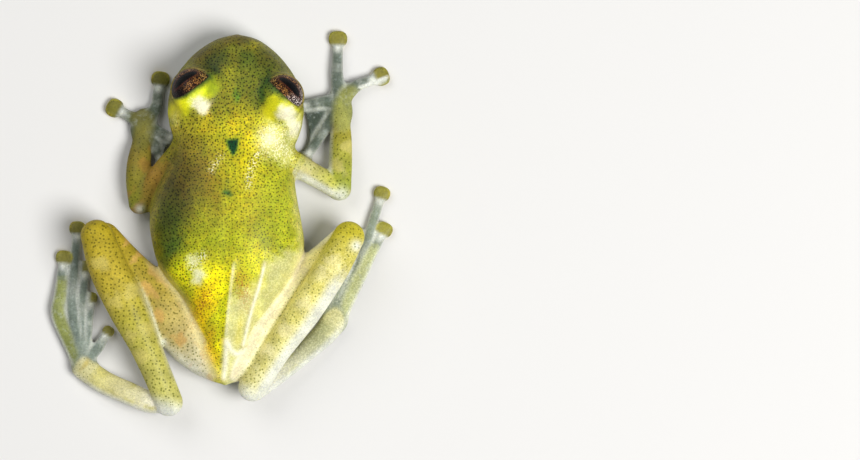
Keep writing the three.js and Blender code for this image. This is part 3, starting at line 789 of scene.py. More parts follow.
# Painted highlights: rows of pale glints on the wet back, and the dull line along the left flank
PAINTED_GLINT_LINES = [  # line, half width
    [curve_of((213, 170), (217, 163), (222, 157)), 0.2],
    [curve_of((249, 186), (252, 170), (258, 155)), 0.22],
    [curve_of((205, 255), (199, 262), (194, 268)), 0.25],
]
LEFT_EDGE = curve_of((172, 165), (160, 190), (153.5, 215), (152.5, 240))
# Marks laid over the cream of the rump
RUMP_MARKS = [
    ["green by the hip bone", (216, 214, 28), (251, 266), 1.3, 0.8, 10, 0.9, 2.4],
    ["yellow by the hip bone", YELLOW, (259, 268), 0.95, 0.22, 18, 0.9],
    ["green outside the hip bone", (230, 226, 130), (262, 316), 1.6, 0.3, 28, 0.75],
    ["hollow by the tail", (226, 214, 96), (240, 330), 1.0, 0.24, -8, 0.8],
]

# Each limb's colours from its start to its end, the colour of its blotches, how strong its dots are,
# and its milky edge, pale skin that is partly painted highlight: [which side, shares of the length where it
# begins and ends, and of the half width]
LIMB_LOOKS = {
    "thigh_left": [[(214, 208, 172), (192, 174, 104), (168, 148, 56), (164, 146, 42), (176, 152, 38)],
                   (198, 158, 86), 0.85, [1, 0, 0.3, 0.5]],
    "shank_left": [[(172, 152, 34), (182, 162, 50), (176, 168, 64), (184, 178, 88), (192, 188, 104)],
                   (206, 192, 112), 0.85, [1, 0.4, 0.8, 0.7]],
    "tarsus_left": [[(232, 228, 214), (218, 212, 166), (208, 200, 138), (190, 184, 104)],
                    (198, 190, 112), 0.3, [1, 0, 1, 0.45]],
    "upper_arm_left": [[(150, 124, 44), (156, 122, 46), (146, 128, 46)],
                       (164, 130, 56), 0.7, [0, 0, 0, 1]],
    "forearm_left": [[(130, 130, 38), (130, 116, 38), (108, 102, 38)],
                     (146, 112, 44), 0.7, [0, 0, 0, 1]],
    "thigh_right": [[(244, 236, 192), (252, 244, 184), (238, 220, 104)],
                    (236, 224, 170), 0.5, [1, 0.1, 1, 0.55]],
    "shank_right": [[(196, 184, 48), (224, 214, 122), (226, 219, 142), (226, 220, 160)],
                    (240, 230, 172), 0.75, [1, 0.25, 1, 0.05]],
    "tarsus_right": [[(214, 212, 200), (190, 188, 160), (172, 173, 128), (164, 167, 108)],
                     (190, 188, 134), 0.25, [-1, 0, 1, 0.3]],
    "upper_arm_right": [[(200, 197, 160), (190, 185, 106), (184, 184, 62)],
                        (204, 194, 124), 0.8, [-1, 0, 1, 0]],
    "forearm_right": [[(150, 160, 44), (160, 158, 58), (162, 152, 48), (154, 152, 76)],
                      (188, 178, 98), 0.8, [1, 0, 0.9, 0.5]],
}
# Pixels in the middle of the pale blotches, and of the yellow freckled patches between them
PALE_BLOTCHES = {
    "shank_left": [(102, 263), (117, 301), (132, 291), (148, 329), (132, 335), (142, 357)],
    "shank_right": [(334, 263), (322, 274), (306, 303), (286, 330), (268, 350)],
}
FRECKLED_PATCHES = {
    "shank_right": [(326, 246), (316, 287), (294, 315), (276, 339), (262, 361), (250, 376)],
}
PATCH_SIZE = 0.5
GROINS = {"thigh_left": (LEFT_GROIN, 1), "thigh_right": (RIGHT_GROIN, -1)}  # line, side
HEELS = {"shank_left": (10.5, 11.9), "shank_right": (9.8, 11.0)}  # y where the heel grows milky, pale skin partly painted as highlight
# Milky spots on the limbs: pale skin, partly painted highlight
MILK_AND_SHEEN_SPOTS = [  # pixel, radius
    [(341, 196), 0.5],
    [(139.5, 209.5), 0.26],
    [(164, 342), 0.18],
    [(357, 246), 0.36],
]
WRISTS = [  # line, colour
    [[(4.95, -5.2), (4.85, -6.3), (5.1, -6.6)], (112, 108, 44)],
    [[(-7.5, -6.3), (-7.6, -7.3), (-7.9, -7.9)], (150, 152, 76)],
]

# Organs seen through the belly: [name, x, y, half width, half length, colour, crispness]
ORGANS = [
    ["shade", -1.6, 3.0, 0.8, 0.9, (112, 72, 62), 2],
    ["heart", -0.73, -2.7, 0.85, 1.4, (84, 26, 58), 4],
    ["tip of the heart", -0.6, -1.4, 0.5, 0.28, (190, 24, 44), 3],
    ["liver, right lobe", -0.85, -0.15, 0.5, 0.95, (246, 243, 236), 6],
    ["liver, left lobe", 0.1, 0.05, 0.75, 0.9, (246, 243, 236), 6],
    ["gut", 0.67, 3.3, 1.35, 1.8, (242, 228, 214), 6],
    ["end of the gut", 0.1, 4.9, 0.6, 0.9, (236, 222, 208), 4],
    ["gall bladder", 0.72, 1.45, 0.7, 0.4, (208, 202, 28), 4],
]
VEINS = [
    [(-1.35, -1.4), (-2.4, -1.05), (-3.4, -0.55), (-4.1, 0.1), (-4.5, 0.9)],
    [(0.1, -1.35), (1.1, -0.65), (1.9, -1.0), (3.2, -1.7)],
    [(-1.5, 0.9), (-2.5, 1.9), (-2.6, 2.9), (-1.9, 4.7), (-1.4, 6.6)],
    [(-2.5, 2.0), (-3.6, 2.5), (-4.4, 2.2)],
    [(-2.0, 1.4), (-3.0, 0.9), (-4.2, 1.2)],
    [(2.1, 1.0), (3.0, 0.8), (3.8, 0.9)],
    [(2.2, 2.2), (3.0, 2.5), (3.7, 2.1)],
    [(2.3, 0.0), (3.4, -0.3), (4.2, -0.2)],
]
CHEST_FOLD = [(-4.6, -2.2), (-3.8, -3.2), (-2.1, -3.8), (-0.6, -3.9), (0.8, -3.5), (2.0, -3.1), (3.7, -1.9)]
MIDLINE_VEIN = [(0.3, 0.95), (-0.55, 1.7), (-0.6, 3.7), (-0.25, 5.4), (-0.2, 6.9)]

# Dots of the skin: spacing and radius
FINE_DOTS = (0.22, 0.05)
FAINT_DOTS = (0.19, 0.034)
COARSE_DOTS = (0.28, 0.068)
DOT_EDGE = 0.012
# Colours of the renderer's linear scale: those laid over the coat, and those it is multiplied by
RUST_COLOUR = (0.47, 0.17, 0.015)
STREAK_COLOUR = (0.56, 0.62, 0.59)
# Pale flecks, used both as the skin's own grain and as painted glints of light
GLINT_AND_FLECK_COLOUR = (0.93, 0.9, 0.6)
OLIVE_TINT = (0.6, 0.74, 0.4)
GOLDEN_TINT = (1.16, 0.92, 0.8)
NET_TINT = (1.4, 1.35, 0.8)
FAINT_TINT = (0.2, 0.2, 0.2)
FINE_TINT = (0.13, 0.12, 0.14)
COARSE_TINT = (0.26, 0.3, 0.1)
SKIN_SHADER = {
    "Subsurface Weight": 0.12,
    "Subsurface Radius": (1.0, 0.8, 0.35),
    "Subsurface Scale": 0.25 * MM,
    "Specular IOR Level": 0.18,
    "Coat Weight": 0.06,
    "Coat Roughness": 0.2,
}

# Colours of the iris, as read from a screen
GOLD = (222, 176, 88)
COPPER = (196, 136, 68)
# The rear of the iris is pale pinkish white on the right eye; on the left eye it is painted darker as shade
REAR_OF_IRIS = {"left": (120, 96, 92), "right": (252, 236, 228)}
BROWN_FRONT = (34, 16, 8)
BROWN_REAR = (30, 12, 14)
LEFT_EYE_REAR_SHADE = (10, 6, 7)  # painted shade over the rear of the left eye only
PUPIL_RIM = (64, 22, 15)
PUPIL_BLACK = (0.001, 0.001, 0.0015)  # in the renderer's linear scale
# The pupil's half length and half height in eye radii, and the powers of its outline, 2 is an ellipse
PUPIL = (0.57, 0.185)
PUPIL_POWERS = (2.4, 2.0)
EYE_SHADER = {"Specular IOR Level": 0.1, "Coat Weight": 0.12, "Coat Roughness": 0.04}


def mark_weight(x, y, pixel, half_length, half_width, turn, strength, crispness=2):
    """How much of a mark is on each point of the back."""
    centre = seen(*pixel)
    angle = math.radians(turn)
    dx, dy = x - centre[0], y - centre[1]
    across = dx * math.cos(angle) + dy * math.sin(angle)
    along = dy * math.cos(angle) - dx * math.sin(angle)
    share = np.sqrt((along / half_length) ** 2 + (across / half_width) ** 2)
    return strength * np.exp(-share ** crispness)


def along_limb(points, rows, reach=0.25):
    """How near points are to a limb, 1 on it, how far along it they lie, and on which side, -1 to 1."""
    x, y, z = points.T
    dense = limb_rows(rows)
    nearest = np.full(len(points), FAR)
    share = np.zeros(len(points))
    side = np.zeros(len(points))
    for i, (start, end) in enumerate(zip(dense, dense[1:])):
        distance = tube_distance(x, y, z, start, end)
        across = np.cross(UP, end[:3] - start[:3])
        across /= np.linalg.norm(across)
        aside = ((x - start[0]) * across[0] + (y - start[1]) * across[1]) / start[3]
        closer = distance < nearest
        nearest = np.where(closer, distance, nearest)
        share = np.where(closer, i / (len(dense) - 2), share)
        side = np.where(closer, aside, side)
    return 1 - step_up(nearest, 0.04, reach), share, side


class Coat:
    """The skin's colour and marks at each vertex."""

    def __init__(self, count):
        self.colour = np.tile(linear(*BACK), (count, 1))
        self.fine_dots = np.ones(count)
        self.coarse_dots = np.zeros(count)
        self.glints_and_flecks = np.zeros(count)
        self.rust = np.zeros(count)
        self.sheer = np.zeros(count)

    def cover(self, colour, weight):
        """Lays a screen colour over the coat."""
        self.blend(linear(*colour), weight)

    def blend(self, colour, weight):
        self.colour += (colour - self.colour) * np.clip(weight, 0, 1)[:, None]

    def clear_dots(self, weight):
        self.fine_dots *= 1 - weight
        self.coarse_dots *= 1 - weight


def waver(x, y, size):
    """An uneven value from -1 to 1 that changes over a size."""
    first = np.sin(2.9 * x / size + 1.3 * np.sin(1.9 * y / size))
    return first * np.sin(2.7 * y / size + 1.1 * np.sin(2.3 * x / size + 1.0))


def paint_trunk(coat, points, normals):
    """The green and yellow patches of head and back, the painted highlights and the dark wedge of the nape.
    """
    x, y, z = points.T
    top = step_up(normals[:, 2], -0.1, 0.3)
    coat.cover(HEAD, 1 - step_up(y, -7.6, -5.2))
    side = step_up(np.abs(x + 0.45), 3.4, 4.6) * step_up(y, -4.5, -2.5)
    coat.cover(FLANK, 0.7 * side * (1 - step_up(z, 1.2, 2.8)))
    ragged_x = x + 0.16 * waver(x, y, 0.7) + 0.05 * waver(y, x, 0.2)
    ragged_y = y + 0.16 * waver(y + 3, x, 0.7) + 0.05 * waver(x, y, 0.21)
    for name, colour, *shape in MARKS:
        weight = mark_weight(ragged_x, ragged_y, *shape) * top
        coat.cover(colour, weight)
        if name.startswith("yellow"):
            coat.fine_dots *= 1 - 0.9 * weight
    coat.fine_dots *= 1 - 0.15 * step_up(y, -5.0, -1.0) * step_up(2.6 - x, 0.0, 1.5)
    torn_x = x + 0.12 * waver(x, y, 0.5) + 0.06 * waver(y, x, 0.2)
    torn_y = y + 0.12 * waver(y + 5, x, 0.5) + 0.06 * waver(x, y, 0.2)
    # Painted highlights: pale patches of shine on the wet skin, broken into flecks
    for _, colour, grain, *shape in PAINTED_HIGHLIGHTS:
        weight = mark_weight(torn_x, torn_y, *shape) * top
        strength = shape[4]
        coat.cover(colour, weight)
        coat.fine_dots *= 1 - 0.9 * weight
        coat.glints_and_flecks += grain * weight / strength
    paint_rump(coat, x, y, top)
    wedge = plan_distance(x, y, np.array(WEDGE))
    coat.cover(WEDGE_RIM, 0.7 * (1 - step_up(wedge, 0.0, 0.2)) * top)
    coat.cover(DEEP_GREEN, (1 - step_up(wedge, -0.04, 0.09)) * top)
    for pixel, size, strength in BACK_SPOTS:
        spot = np.hypot(x - seen(*pixel)[0], (y - seen(*pixel)[1]) * 1.3)
        coat.cover(SPOT_GREEN, strength * bell(spot, size) * top)
    coat.cover(FLANK_EDGE, 0.6 * bell(line_distance((x, y), LEFT_EDGE), 0.22) * top)
    # Painted highlights: rows of pale glints along the back
    for line, width in PAINTED_GLINT_LINES:
        coat.glints_and_flecks += bell(line_distance((x, y), line), width) * top


def paint_rump(coat, x, y, top):
    """Cream to the right of the tail bone, with the hip bone as a white ridge."""
    plan = (x, y)
    split = np.interp(y, [2.4, 4.8, 7.3, 9.6], [seen(p, 0)[0] for p in (234, 229.5, 225, 223.5)])
    begins = np.interp(x, [-4.9, -2.7, -2.4, -1.8, -0.8], [1.5, 2.3, 2.9, 3.9, 4.5])
    begins = begins + 0.3 * waver(x, y, 0.6) + 0.15 * waver(y, x, 0.22)
    cream = step_up(split - x, -0.1, 0.3) * step_up(y - begins, -0.6, 0.7) * top
    coat.cover(CREAM, 0.92 * cream)
    coat.fine_dots *= 1 - 0.75 * cream
    coat.glints_and_flecks += 0.2 * cream
    for _, colour, *shape in RUMP_MARKS:
        coat.cover(colour, mark_weight(x + 0.08 * waver(x, y, 0.3), y, *shape) * top)
    for _, *shape in RUST:
        coat.rust += mark_weight(x, y, *shape) * top
    white = 0.9 * bell(line_distance(plan, RIGHT_ILIUM), 0.11)
    for line in (VENT_FOLD, VENT_LEFT, VENT_RIGHT):
        white = np.maximum(white, 0.9 * bell(line_distance(plan, line), 0.18))
    right_of_tail = step_up(split - x, -0.1, 0.1)
    white = np.maximum(white, 0.6 * bell(line_distance(plan, TAIL_BONE), 0.13) * right_of_tail)
    white = white * top * step_up(y, 2.2, 2.9)
    coat.cover(PALE, white)
    coat.fine_dots *= 1 - white


def paint_underside(coat, points, normals):
    """Clear skin below, with heart, liver, gut and veins seen through the belly."""
    x, y, _ = points.T
    plan = (x, y)
    under = step_up(-normals[:, 2], 0.1, 0.6)
    coat.cover(THROAT, under)
    coat.fine_dots *= 1 - under
    rows = np.array(SECTIONS)
    middle = np.interp(y, rows[:, 0], rows[:, 1])
    share = np.abs(x - middle) / np.maximum(np.interp(y, rows[:, 0], rows[:, 2]), 0.1)
    chest = np.interp(x, *np.array(CHEST_FOLD).T)
    belly = under * step_up(y - chest, 0.0, 0.5) * (1 - step_up(y, 7.2, 8.2))
    coat.cover(CLEAR, belly * (1 - step_up(share, 0.72, 0.8)))
    coat.cover(VEIN, 0.8 * belly * bell(share - 0.78, 0.03))
    coat.cover(VEIN, 0.7 * under * bell(line_distance(plan, CHEST_FOLD), 0.3))
    winding = (x, y + 0.1 * waver(x, y, 0.35))
    for vein in VEINS:
        coat.cover(VEIN, 0.75 * belly * bell(line_distance(winding, vein), 0.07))
    for _, across, along, half_width, half_length, colour, crispness in ORGANS:
        reach = np.sqrt(((x - across) / half_width) ** 2 + ((y - along) / half_length) ** 2)
        coat.cover(colour, belly * np.exp(-reach ** crispness))
    coat.cover(BLOOD, belly * bell(line_distance(plan, MIDLINE_VEIN), 0.11))
    throat = np.hypot(x - MIDLINE - 0.3, y + 9.0)
    coat.cover(THROAT_POUCH, 0.6 * under * (1 - step_up(throat, 1.9, 2.3)))
    coat.cover(VEIN, 0.25 * under * bell(throat - 2.25, 0.12))


def limb_colour(looks, share):
    """The colour at each share of a limb's length."""
    stops = np.array([linear(*colour) for colour in looks])
    at = np.linspace(0, 1, len(stops))
    return np.stack([np.interp(share, at, stops[:, channel]) for channel in range(3)], 1)


def outside_groin(x, y, line, out):
    """1 beyond the fold of the groin on one side, 0 on the trunk."""
    corners = np.array(sorted(line, key=lambda corner: corner[1]))
    fold = np.interp(y, corners[:, 1], corners[:, 0])
    return step_up((x - fold) * out, -0.02, 0.16) * step_up(y, corners[0, 1] - 0.1, corners[0, 1] + 0.5)


def patches(x, y, pixels, size):
    """1 on uneven round patches in the middle of the given pixels, 0 away from them."""
    torn_x, torn_y = x + 0.2 * waver(x, y, 0.6), y + 0.2 * waver(y, x, 0.5)
    nearest = np.full(len(x), FAR)
    for pixel in pixels:
        across, down = seen(*pixel)
        nearest = np.minimum(nearest, np.hypot(torn_x - across, torn_y - down))
    return 1 - step_up(nearest, size * 0.5, size * 1.4)


def part_of_limb(name, near, share, x, y):
    """Where a limb's own colour is: faded at the ends that melt into the body, palm or foot."""
    if name in GROINS:
        return np.maximum(near * step_up(share, 0.02, 0.14), outside_groin(x, y, *GROINS[name]))
    if name.startswith("upper_arm"):
        return near * step_up(share, 0.05, 0.4)
    if name.startswith("tarsus"):
        return near * (1 - 0.5 * step_up(share, 0.82, 0.97))
    return near


def paint_limb(coat, points, down, name):
    """A limb's colour along its length, its blotches, milky edge and heel, partly painted highlight, and
    coarse dots.
    """
    x, y, _ = points.T
    colours, blotch, dots, (edge, begins, ends, inner) = LIMB_LOOKS[name]
    near, share, side = along_limb(points, LIMBS[name])
    near = part_of_limb(name, near, share, x, y)
    coat.blend(limb_colour(colours, share), near)
    if name in PALE_BLOTCHES:
        spot = 0.6 * patches(x, y, PALE_BLOTCHES[name], PATCH_SIZE)
    else:
        spot = step_up(waver(x + 1.7, y, 1.1) + 0.3 * waver(y, x, 0.4), 0.1, 0.7)
    coat.cover(blotch, 0.75 * near * spot)
    if name in FRECKLED_PATCHES:
        coat.cover(FRECKLED_YELLOW, 0.4 * near * patches(x, y, FRECKLED_PATCHES[name], PATCH_SIZE))
    heel = 0.0
    if name in HEELS:
        heel = near * step_up(y - 0.25 * side * edge, *HEELS[name])
    # Milky edge and heel: pale skin, partly painted highlight
    along_edge = step_up(share, begins - 0.12, begins + 0.05) * (1 - step_up(share, ends, ends + 0.15))
    milk_and_sheen = 0.85 * near * along_edge * step_up(side * edge, inner, inner + 0.6) * abs(edge)
    milk_and_sheen = np.maximum(milk_and_sheen, 0.65 * near * down)
    coat.cover(PALE_SKIN_AND_SHEEN, np.maximum(milk_and_sheen, 0.95 * heel))
    coat.clear_dots(near)
    shown = dots * (1 - 0.7 * down) * (1 - spot) * (1 - 0.8 * milk_and_sheen) * (1 - 0.8 * heel)
    coat.coarse_dots += near * shown


def paint_limbs(coat, points, normals):
    x, y, z = points.T
    down = 1 - step_up(normals[:, 2], -0.5, 0.2)
    for name in LIMB_LOOKS:
        paint_limb(coat, points, down, name)
    # Milky spots: pale skin, partly painted highlight
    for pixel, size in MILK_AND_SHEEN_SPOTS:
        centre = seen(*pixel)
        coat.cover(PALE_SKIN_AND_SHEEN, 0.85 * bell(np.hypot(x - centre[0], y - centre[1]), size) * step_up(z, 0.4, 0.6))
    for line, width, colour in ((RIGHT_GROIN, 0.22, GROIN), (LEFT_GROIN, 0.28, LEFT_GROIN_COLOUR)):
        weight = 0.85 * bell(line_distance((x, y), line), width) * step_up(normals[:, 2], 0.0, 0.4)
        coat.cover(colour, weight)
        coat.clear_dots(weight)


def paint_digit(coat, points, low, below, digit, disc, rows, looks):
    """Clear skin, milky along its edges as painted highlight, and a coloured disc with a paler rim. Returns
    where it is.
    """
    x, y, _ = points.T
    near, share, side = along_limb(points, rows, 0.3)
    near = near * low
    coat.cover(looks["skin"], near)
    # Painted highlight: pale edges of the clear digit
    coat.cover(PALE_SKIN_AND_SHEEN, looks["milk_and_sheen"] * near * step_up(np.abs(side), 0.55, 1.0))
    coat.cover(PALE_SKIN_AND_SHEEN, 0.5 * looks["milk_and_sheen"] * near * bell(share - 0.45, 0.1))
    coat.sheer = np.maximum(coat.sheer * (1 - near), 0.4 * near)
    before, tip = (np.array(p) for p in digit[1:])
    ahead = (tip - before) / np.linalg.norm(tip - before)
    dx, dy = x - tip[0], y - tip[1]
    along = dx * ahead[0] + dy * ahead[1]
    from_tip = np.hypot(dx, dy)
    pad = (1 - step_up(from_tip, disc * 0.95, disc * 1.25)) * low
    coat.cover(PALE_SKIN_AND_SHEEN, 0.95 * low * bell(np.hypot(dx + ahead[0] * disc, dy + ahead[1] * disc), 0.3))
    coat.cover(looks["disc"], 0.95 * pad * step_up(along, -disc * 0.85, -disc * 0.4))
    coat.sheer *= 1 - pad
    rim = step_up(from_tip, disc * 0.75, disc) * step_up(along, -0.2, 0.1)
    coat.cover(DISC_RIM, 0.7 * pad * rim)
    coat.cover(DISC_EDGE_BELOW, below * pad * step_up(from_tip, disc * 0.6, disc * 0.8))
    return near


def paint_extremities(coat, points, normals):
    x, y, z = points.T
    low = step_up(1.0 - z, 0.0, 0.2)
    below = step_up(-normals[:, 2], 0.1, 0.6)
    for name, part in EXTREMITIES.items():
        looks = CLEAR_SKIN[name]
        size = FINGER if name.startswith("hand") else TOE
        web = np.zeros(len(points))
        for shares, digit_a, digit_b in zip(part["webs"], part["digits"], part["digits"][1:]):
            from_web = plan_distance(x, y, web_outline(digit_a, digit_b, shares))
            web = np.maximum(web, (1 - step_up(from_web, 0.0, 0.12)) * (z < 0.75))
        on_palm = along_limb(points, palm_rows(part), 0.4)[0] * low
        coat.cover(looks["web"], web)
        coat.sheer = np.maximum(coat.sheer, web)
        coat.cover(looks["skin"], on_palm)
        bare = np.maximum(web, on_palm)
        for digit, disc in zip(part["digits"], size["discs"]):
            near = paint_digit(coat, points, low, below, digit, disc, digit_rows(digit, size), looks)
            bare = np.maximum(bare, near)
        coat.fine_dots *= 1 - bare
        coat.coarse_dots *= 1 - 0.85 * bare
    paint_outer_digits(coat, points, low)
    paint_wrists(coat, points)


def paint_outer_digits(coat, points, low):
    """The olive band along the outer toe of each foot, and the milky edge of the right outer finger; the
    milky edges are partly painted highlight.
    """
    for name, colour, out in (("foot_left", LEFT_TOE_BAND, 1), ("foot_right", RIGHT_TOE_BAND, -1)):
        near, share, side = along_limb(points, digit_rows(EXTREMITIES[name]["digits"][-1], TOE), 0.3)
        weight = 0.9 * near * low * (1 - step_up(share, 0.72, 0.85))
        coat.cover(colour, weight)
        coat.coarse_dots = np.maximum(coat.coarse_dots, 0.35 * weight)
        # Pale edge of the toe band, partly painted highlight
        coat.cover(PALE_SKIN_AND_SHEEN, 0.8 * weight * step_up(side * out, 0.35, 0.95))
    outer_finger = digit_rows(EXTREMITIES["hand_right"]["digits"][-1], FINGER)
    near, share, side = along_limb(points, outer_finger, 0.3)
    coat.cover(PALE_SKIN_AND_SHEEN, 0.95 * near * low * step_up(-side, 0.0, 0.5) * step_up(share, 0.25, 0.45))


def paint_wrists(coat, points):
    """The forearm's colour, running out over the palm to the root of the outer finger."""
    x, y, z = points.T
    for line, colour in WRISTS:
        weight = 1 - step_up(line_distance((x, y), line), 0.35, 0.95)
        coat.cover(colour, 0.85 * weight * step_up(z, 0.15, 0.35))
        coat.coarse_dots = np.maximum(coat.coarse_dots, 0.3 * weight)


def paint_eyelids(coat, points):
    """Dark green and brown along the upper lid, pale along the lower one."""
    x, y, z = points.T
    for side, eye in EYES.items():
        centre = eye["centre"]
        radius = distance_to(centre, x, y, z)
        gap = lid_opening(x, y, z, side)
        close = 1 - step_up(radius, EYE_RADIUS + 0.2, EYE_RADIUS + 0.5)
        _, rearwards, upwards = gaze_of(side)
        offsets = [x - centre[0], y - centre[1], z - centre[2]]
        above = sum(o * u for o, u in zip(offsets, upwards))
        behind = sum(o * r for o, r in zip(offsets, rearwards))
        upper = step_up(above, -0.1, 0.3)
        band = 0.95 if side == "left" else 0.95 * (1 - step_up(behind, 0.2, 0.9))
        coat.cover(LID_GREEN, band * close * upper * bell(gap, 0.3))
        coat.cover(LID_RIM, 0.9 * close * upper * bell(gap, 0.09))
        coat.cover(LOWER_LID_RIM, 0.9 * close * (1 - upper) * bell(gap, 0.2))


def paint_skin(points, normals):
    coat = Coat(len(points))
    paint_trunk(coat, points, normals)
    paint_underside(coat, points, normals)
    paint_limbs(coat, points, normals)
    paint_extremities(coat, points, normals)
    paint_eyelids(coat, points)
    return coat


def new_material(name):
    """A material with its node tree and its shader."""
    material = bpy.data.materials.new(name)
    material.use_nodes = True
    return material, material.node_tree, material.node_tree.nodes["Principled BSDF"]


def set_inputs(tree, node, inputs):
    """Sets inputs of a node to numbers, or links them to other nodes' outputs."""
    for name, value in inputs.items():
        if isinstance(value, bpy.types.NodeSocket):
            tree.links.new(value, node.inputs[name])
        else:
            node.inputs[name].default_value = value


def add_node(tree, kind, inputs=None, **settings):
    node = tree.nodes.new(kind)
    for name, value in settings.items():
        setattr(node, name, value)
    set_inputs(tree, node, inputs or {})
    return node


def tree_of(*values):
    """The node tree that the values' sockets belong to."""
    return next(value.id_data for value in values if isinstance(value, bpy.types.NodeSocket))


def mix(factor, first, second, blend="MIX"):
    """A mix of two colours, each a socket or three levels."""
    first, second = ((*c, 1) if isinstance(c, (tuple, np.ndarray)) else c for c in (first, second))
    inputs = {0: factor, 6: first, 7: second}
    node = add_node(tree_of(factor, first, second), "ShaderNodeMix", inputs, data_type="RGBA",
                    blend_type=blend)
    return node.outputs[2]


def tinted(colour, amount, tint):
    """A colour multiplied by a tint, as far as the amount says."""
    return mix(amount, colour, mix(1.0, colour, tint, "MULTIPLY"))


def calculate(operation, *values):
    node = add_node(tree_of(*values), "ShaderNodeMath", dict(enumerate(values)), operation=operation)
    return node.outputs[0]


def times(first, second):
    return calculate("MULTIPLY", first, second)


def ramp(value, low, high, at_low=0.0, at_high=1.0):
    """A smooth step of a value from one level to another."""
    inputs = {"Value": value, "From Min": low, "From Max": high, "To Min": at_low, "To Max": at_high}
    return add_node(value.id_data, "ShaderNodeMapRange", inputs, interpolation_type="SMOOTHSTEP").outputs[0]


def noise(place, size, detail=2.0, roughness=0.5):
    """Noise whose features are about size millimetres."""
    inputs = {"Vector": place, "Scale": 1 / size, "Detail": detail, "Roughness": roughness}
    return add_node(place.id_data, "ShaderNodeTexNoise", inputs).outputs[0]


def attribute(tree, name, output="Fac"):
    return add_node(tree, "ShaderNodeAttribute", attribute_name=name).outputs[output]


def vector_math(operation, *values):
    """A sum or product of vectors, each a socket or three numbers."""
    node = add_node(tree_of(*values), "ShaderNodeVectorMath", dict(enumerate(values)), operation=operation)
    return node.outputs[0]


def shifted(place, scale, amount):
    """A place moved about by noise."""
    noisy = add_node(place.id_data, "ShaderNodeTexNoise", {"Vector": place, "Scale": scale, "Detail": 2.0})
    return vector_math("MULTIPLY_ADD", noisy.outputs["Color"], (amount,) * 3, place)


def bump(height, strength, depth):
    """An uneven surface, with its depth in millimetres."""
    inputs = {"Strength": strength, "Distance": depth * MM, "Height": height}
    return add_node(height.id_data, "ShaderNodeBump", inputs).outputs[0]


def dots(place, level, spacing, radius, amount):
    """1 inside round dots and 0 outside, smaller where the amount is.

    They are evenly spread where level is 1, and scattered through space on slopes, where it is 0.
    """
    crowd = spacing * 0.72
    even = {"Vector": place, "Scale": 1 / spacing, "Randomness": 0.85}
    scattered = {"Vector": place, "Scale": 1 / crowd, "Randomness": 0.95}
    flat = add_node(place.id_data, "ShaderNodeTexVoronoi", even, voronoi_dimensions="2D")
    deep = add_node(place.id_data, "ShaderNodeTexVoronoi", scattered)
    spots = []
    for cells, size in ((flat, spacing), (deep, crowd)):
        reach = times(amount, radius / size)
        inside = calculate("SUBTRACT", reach, cells.outputs["Distance"])
        spots.append(ramp(inside, -DOT_EDGE / size, DOT_EDGE / size))
    on_top = times(spots[0], level)
    on_slope = times(spots[1], calculate("SUBTRACT", 1.0, level))
    return calculate("ADD", on_top, on_slope)


def mottled(colour, place, broad, grain, amount):
    """Uneven shade, olive and golden clouds, and a loose net of yellow lines."""
    shade = times(ramp(broad, 0.3, 0.7, 0.86, 1.12), ramp(grain, 0.3, 0.7, 0.85, 1.13))
    tree = place.id_data
    scaled = add_node(tree, "ShaderNodeVectorMath", {0: colour, "Scale": shade}, operation="SCALE")
    colour = scaled.outputs[0]
    olive = times(ramp(noise(place, 0.3, 3.0), 0.42, 0.68), amount)
    colour = tinted(colour, times(olive, 0.5), OLIVE_TINT)
    golden = times(ramp(noise(place, 0.5, 3.0, 0.6), 0.46, 0.66, 0.0, 0.5), amount)
    colour = tinted(colour, golden, GOLDEN_TINT)
    inputs = {"Vector": shifted(place, 2.2, 0.5), "Scale": 1.9}
    cells = add_node(tree, "ShaderNodeTexVoronoi", inputs, feature="DISTANCE_TO_EDGE")
    net = ramp(cells.outputs["Distance"], 0.0, 0.09, 1.0, 0.0)
    net = times(times(net, ramp(broad, 0.4, 0.58, 0.0, 0.6)), amount)
    return tinted(colour, net, NET_TINT)


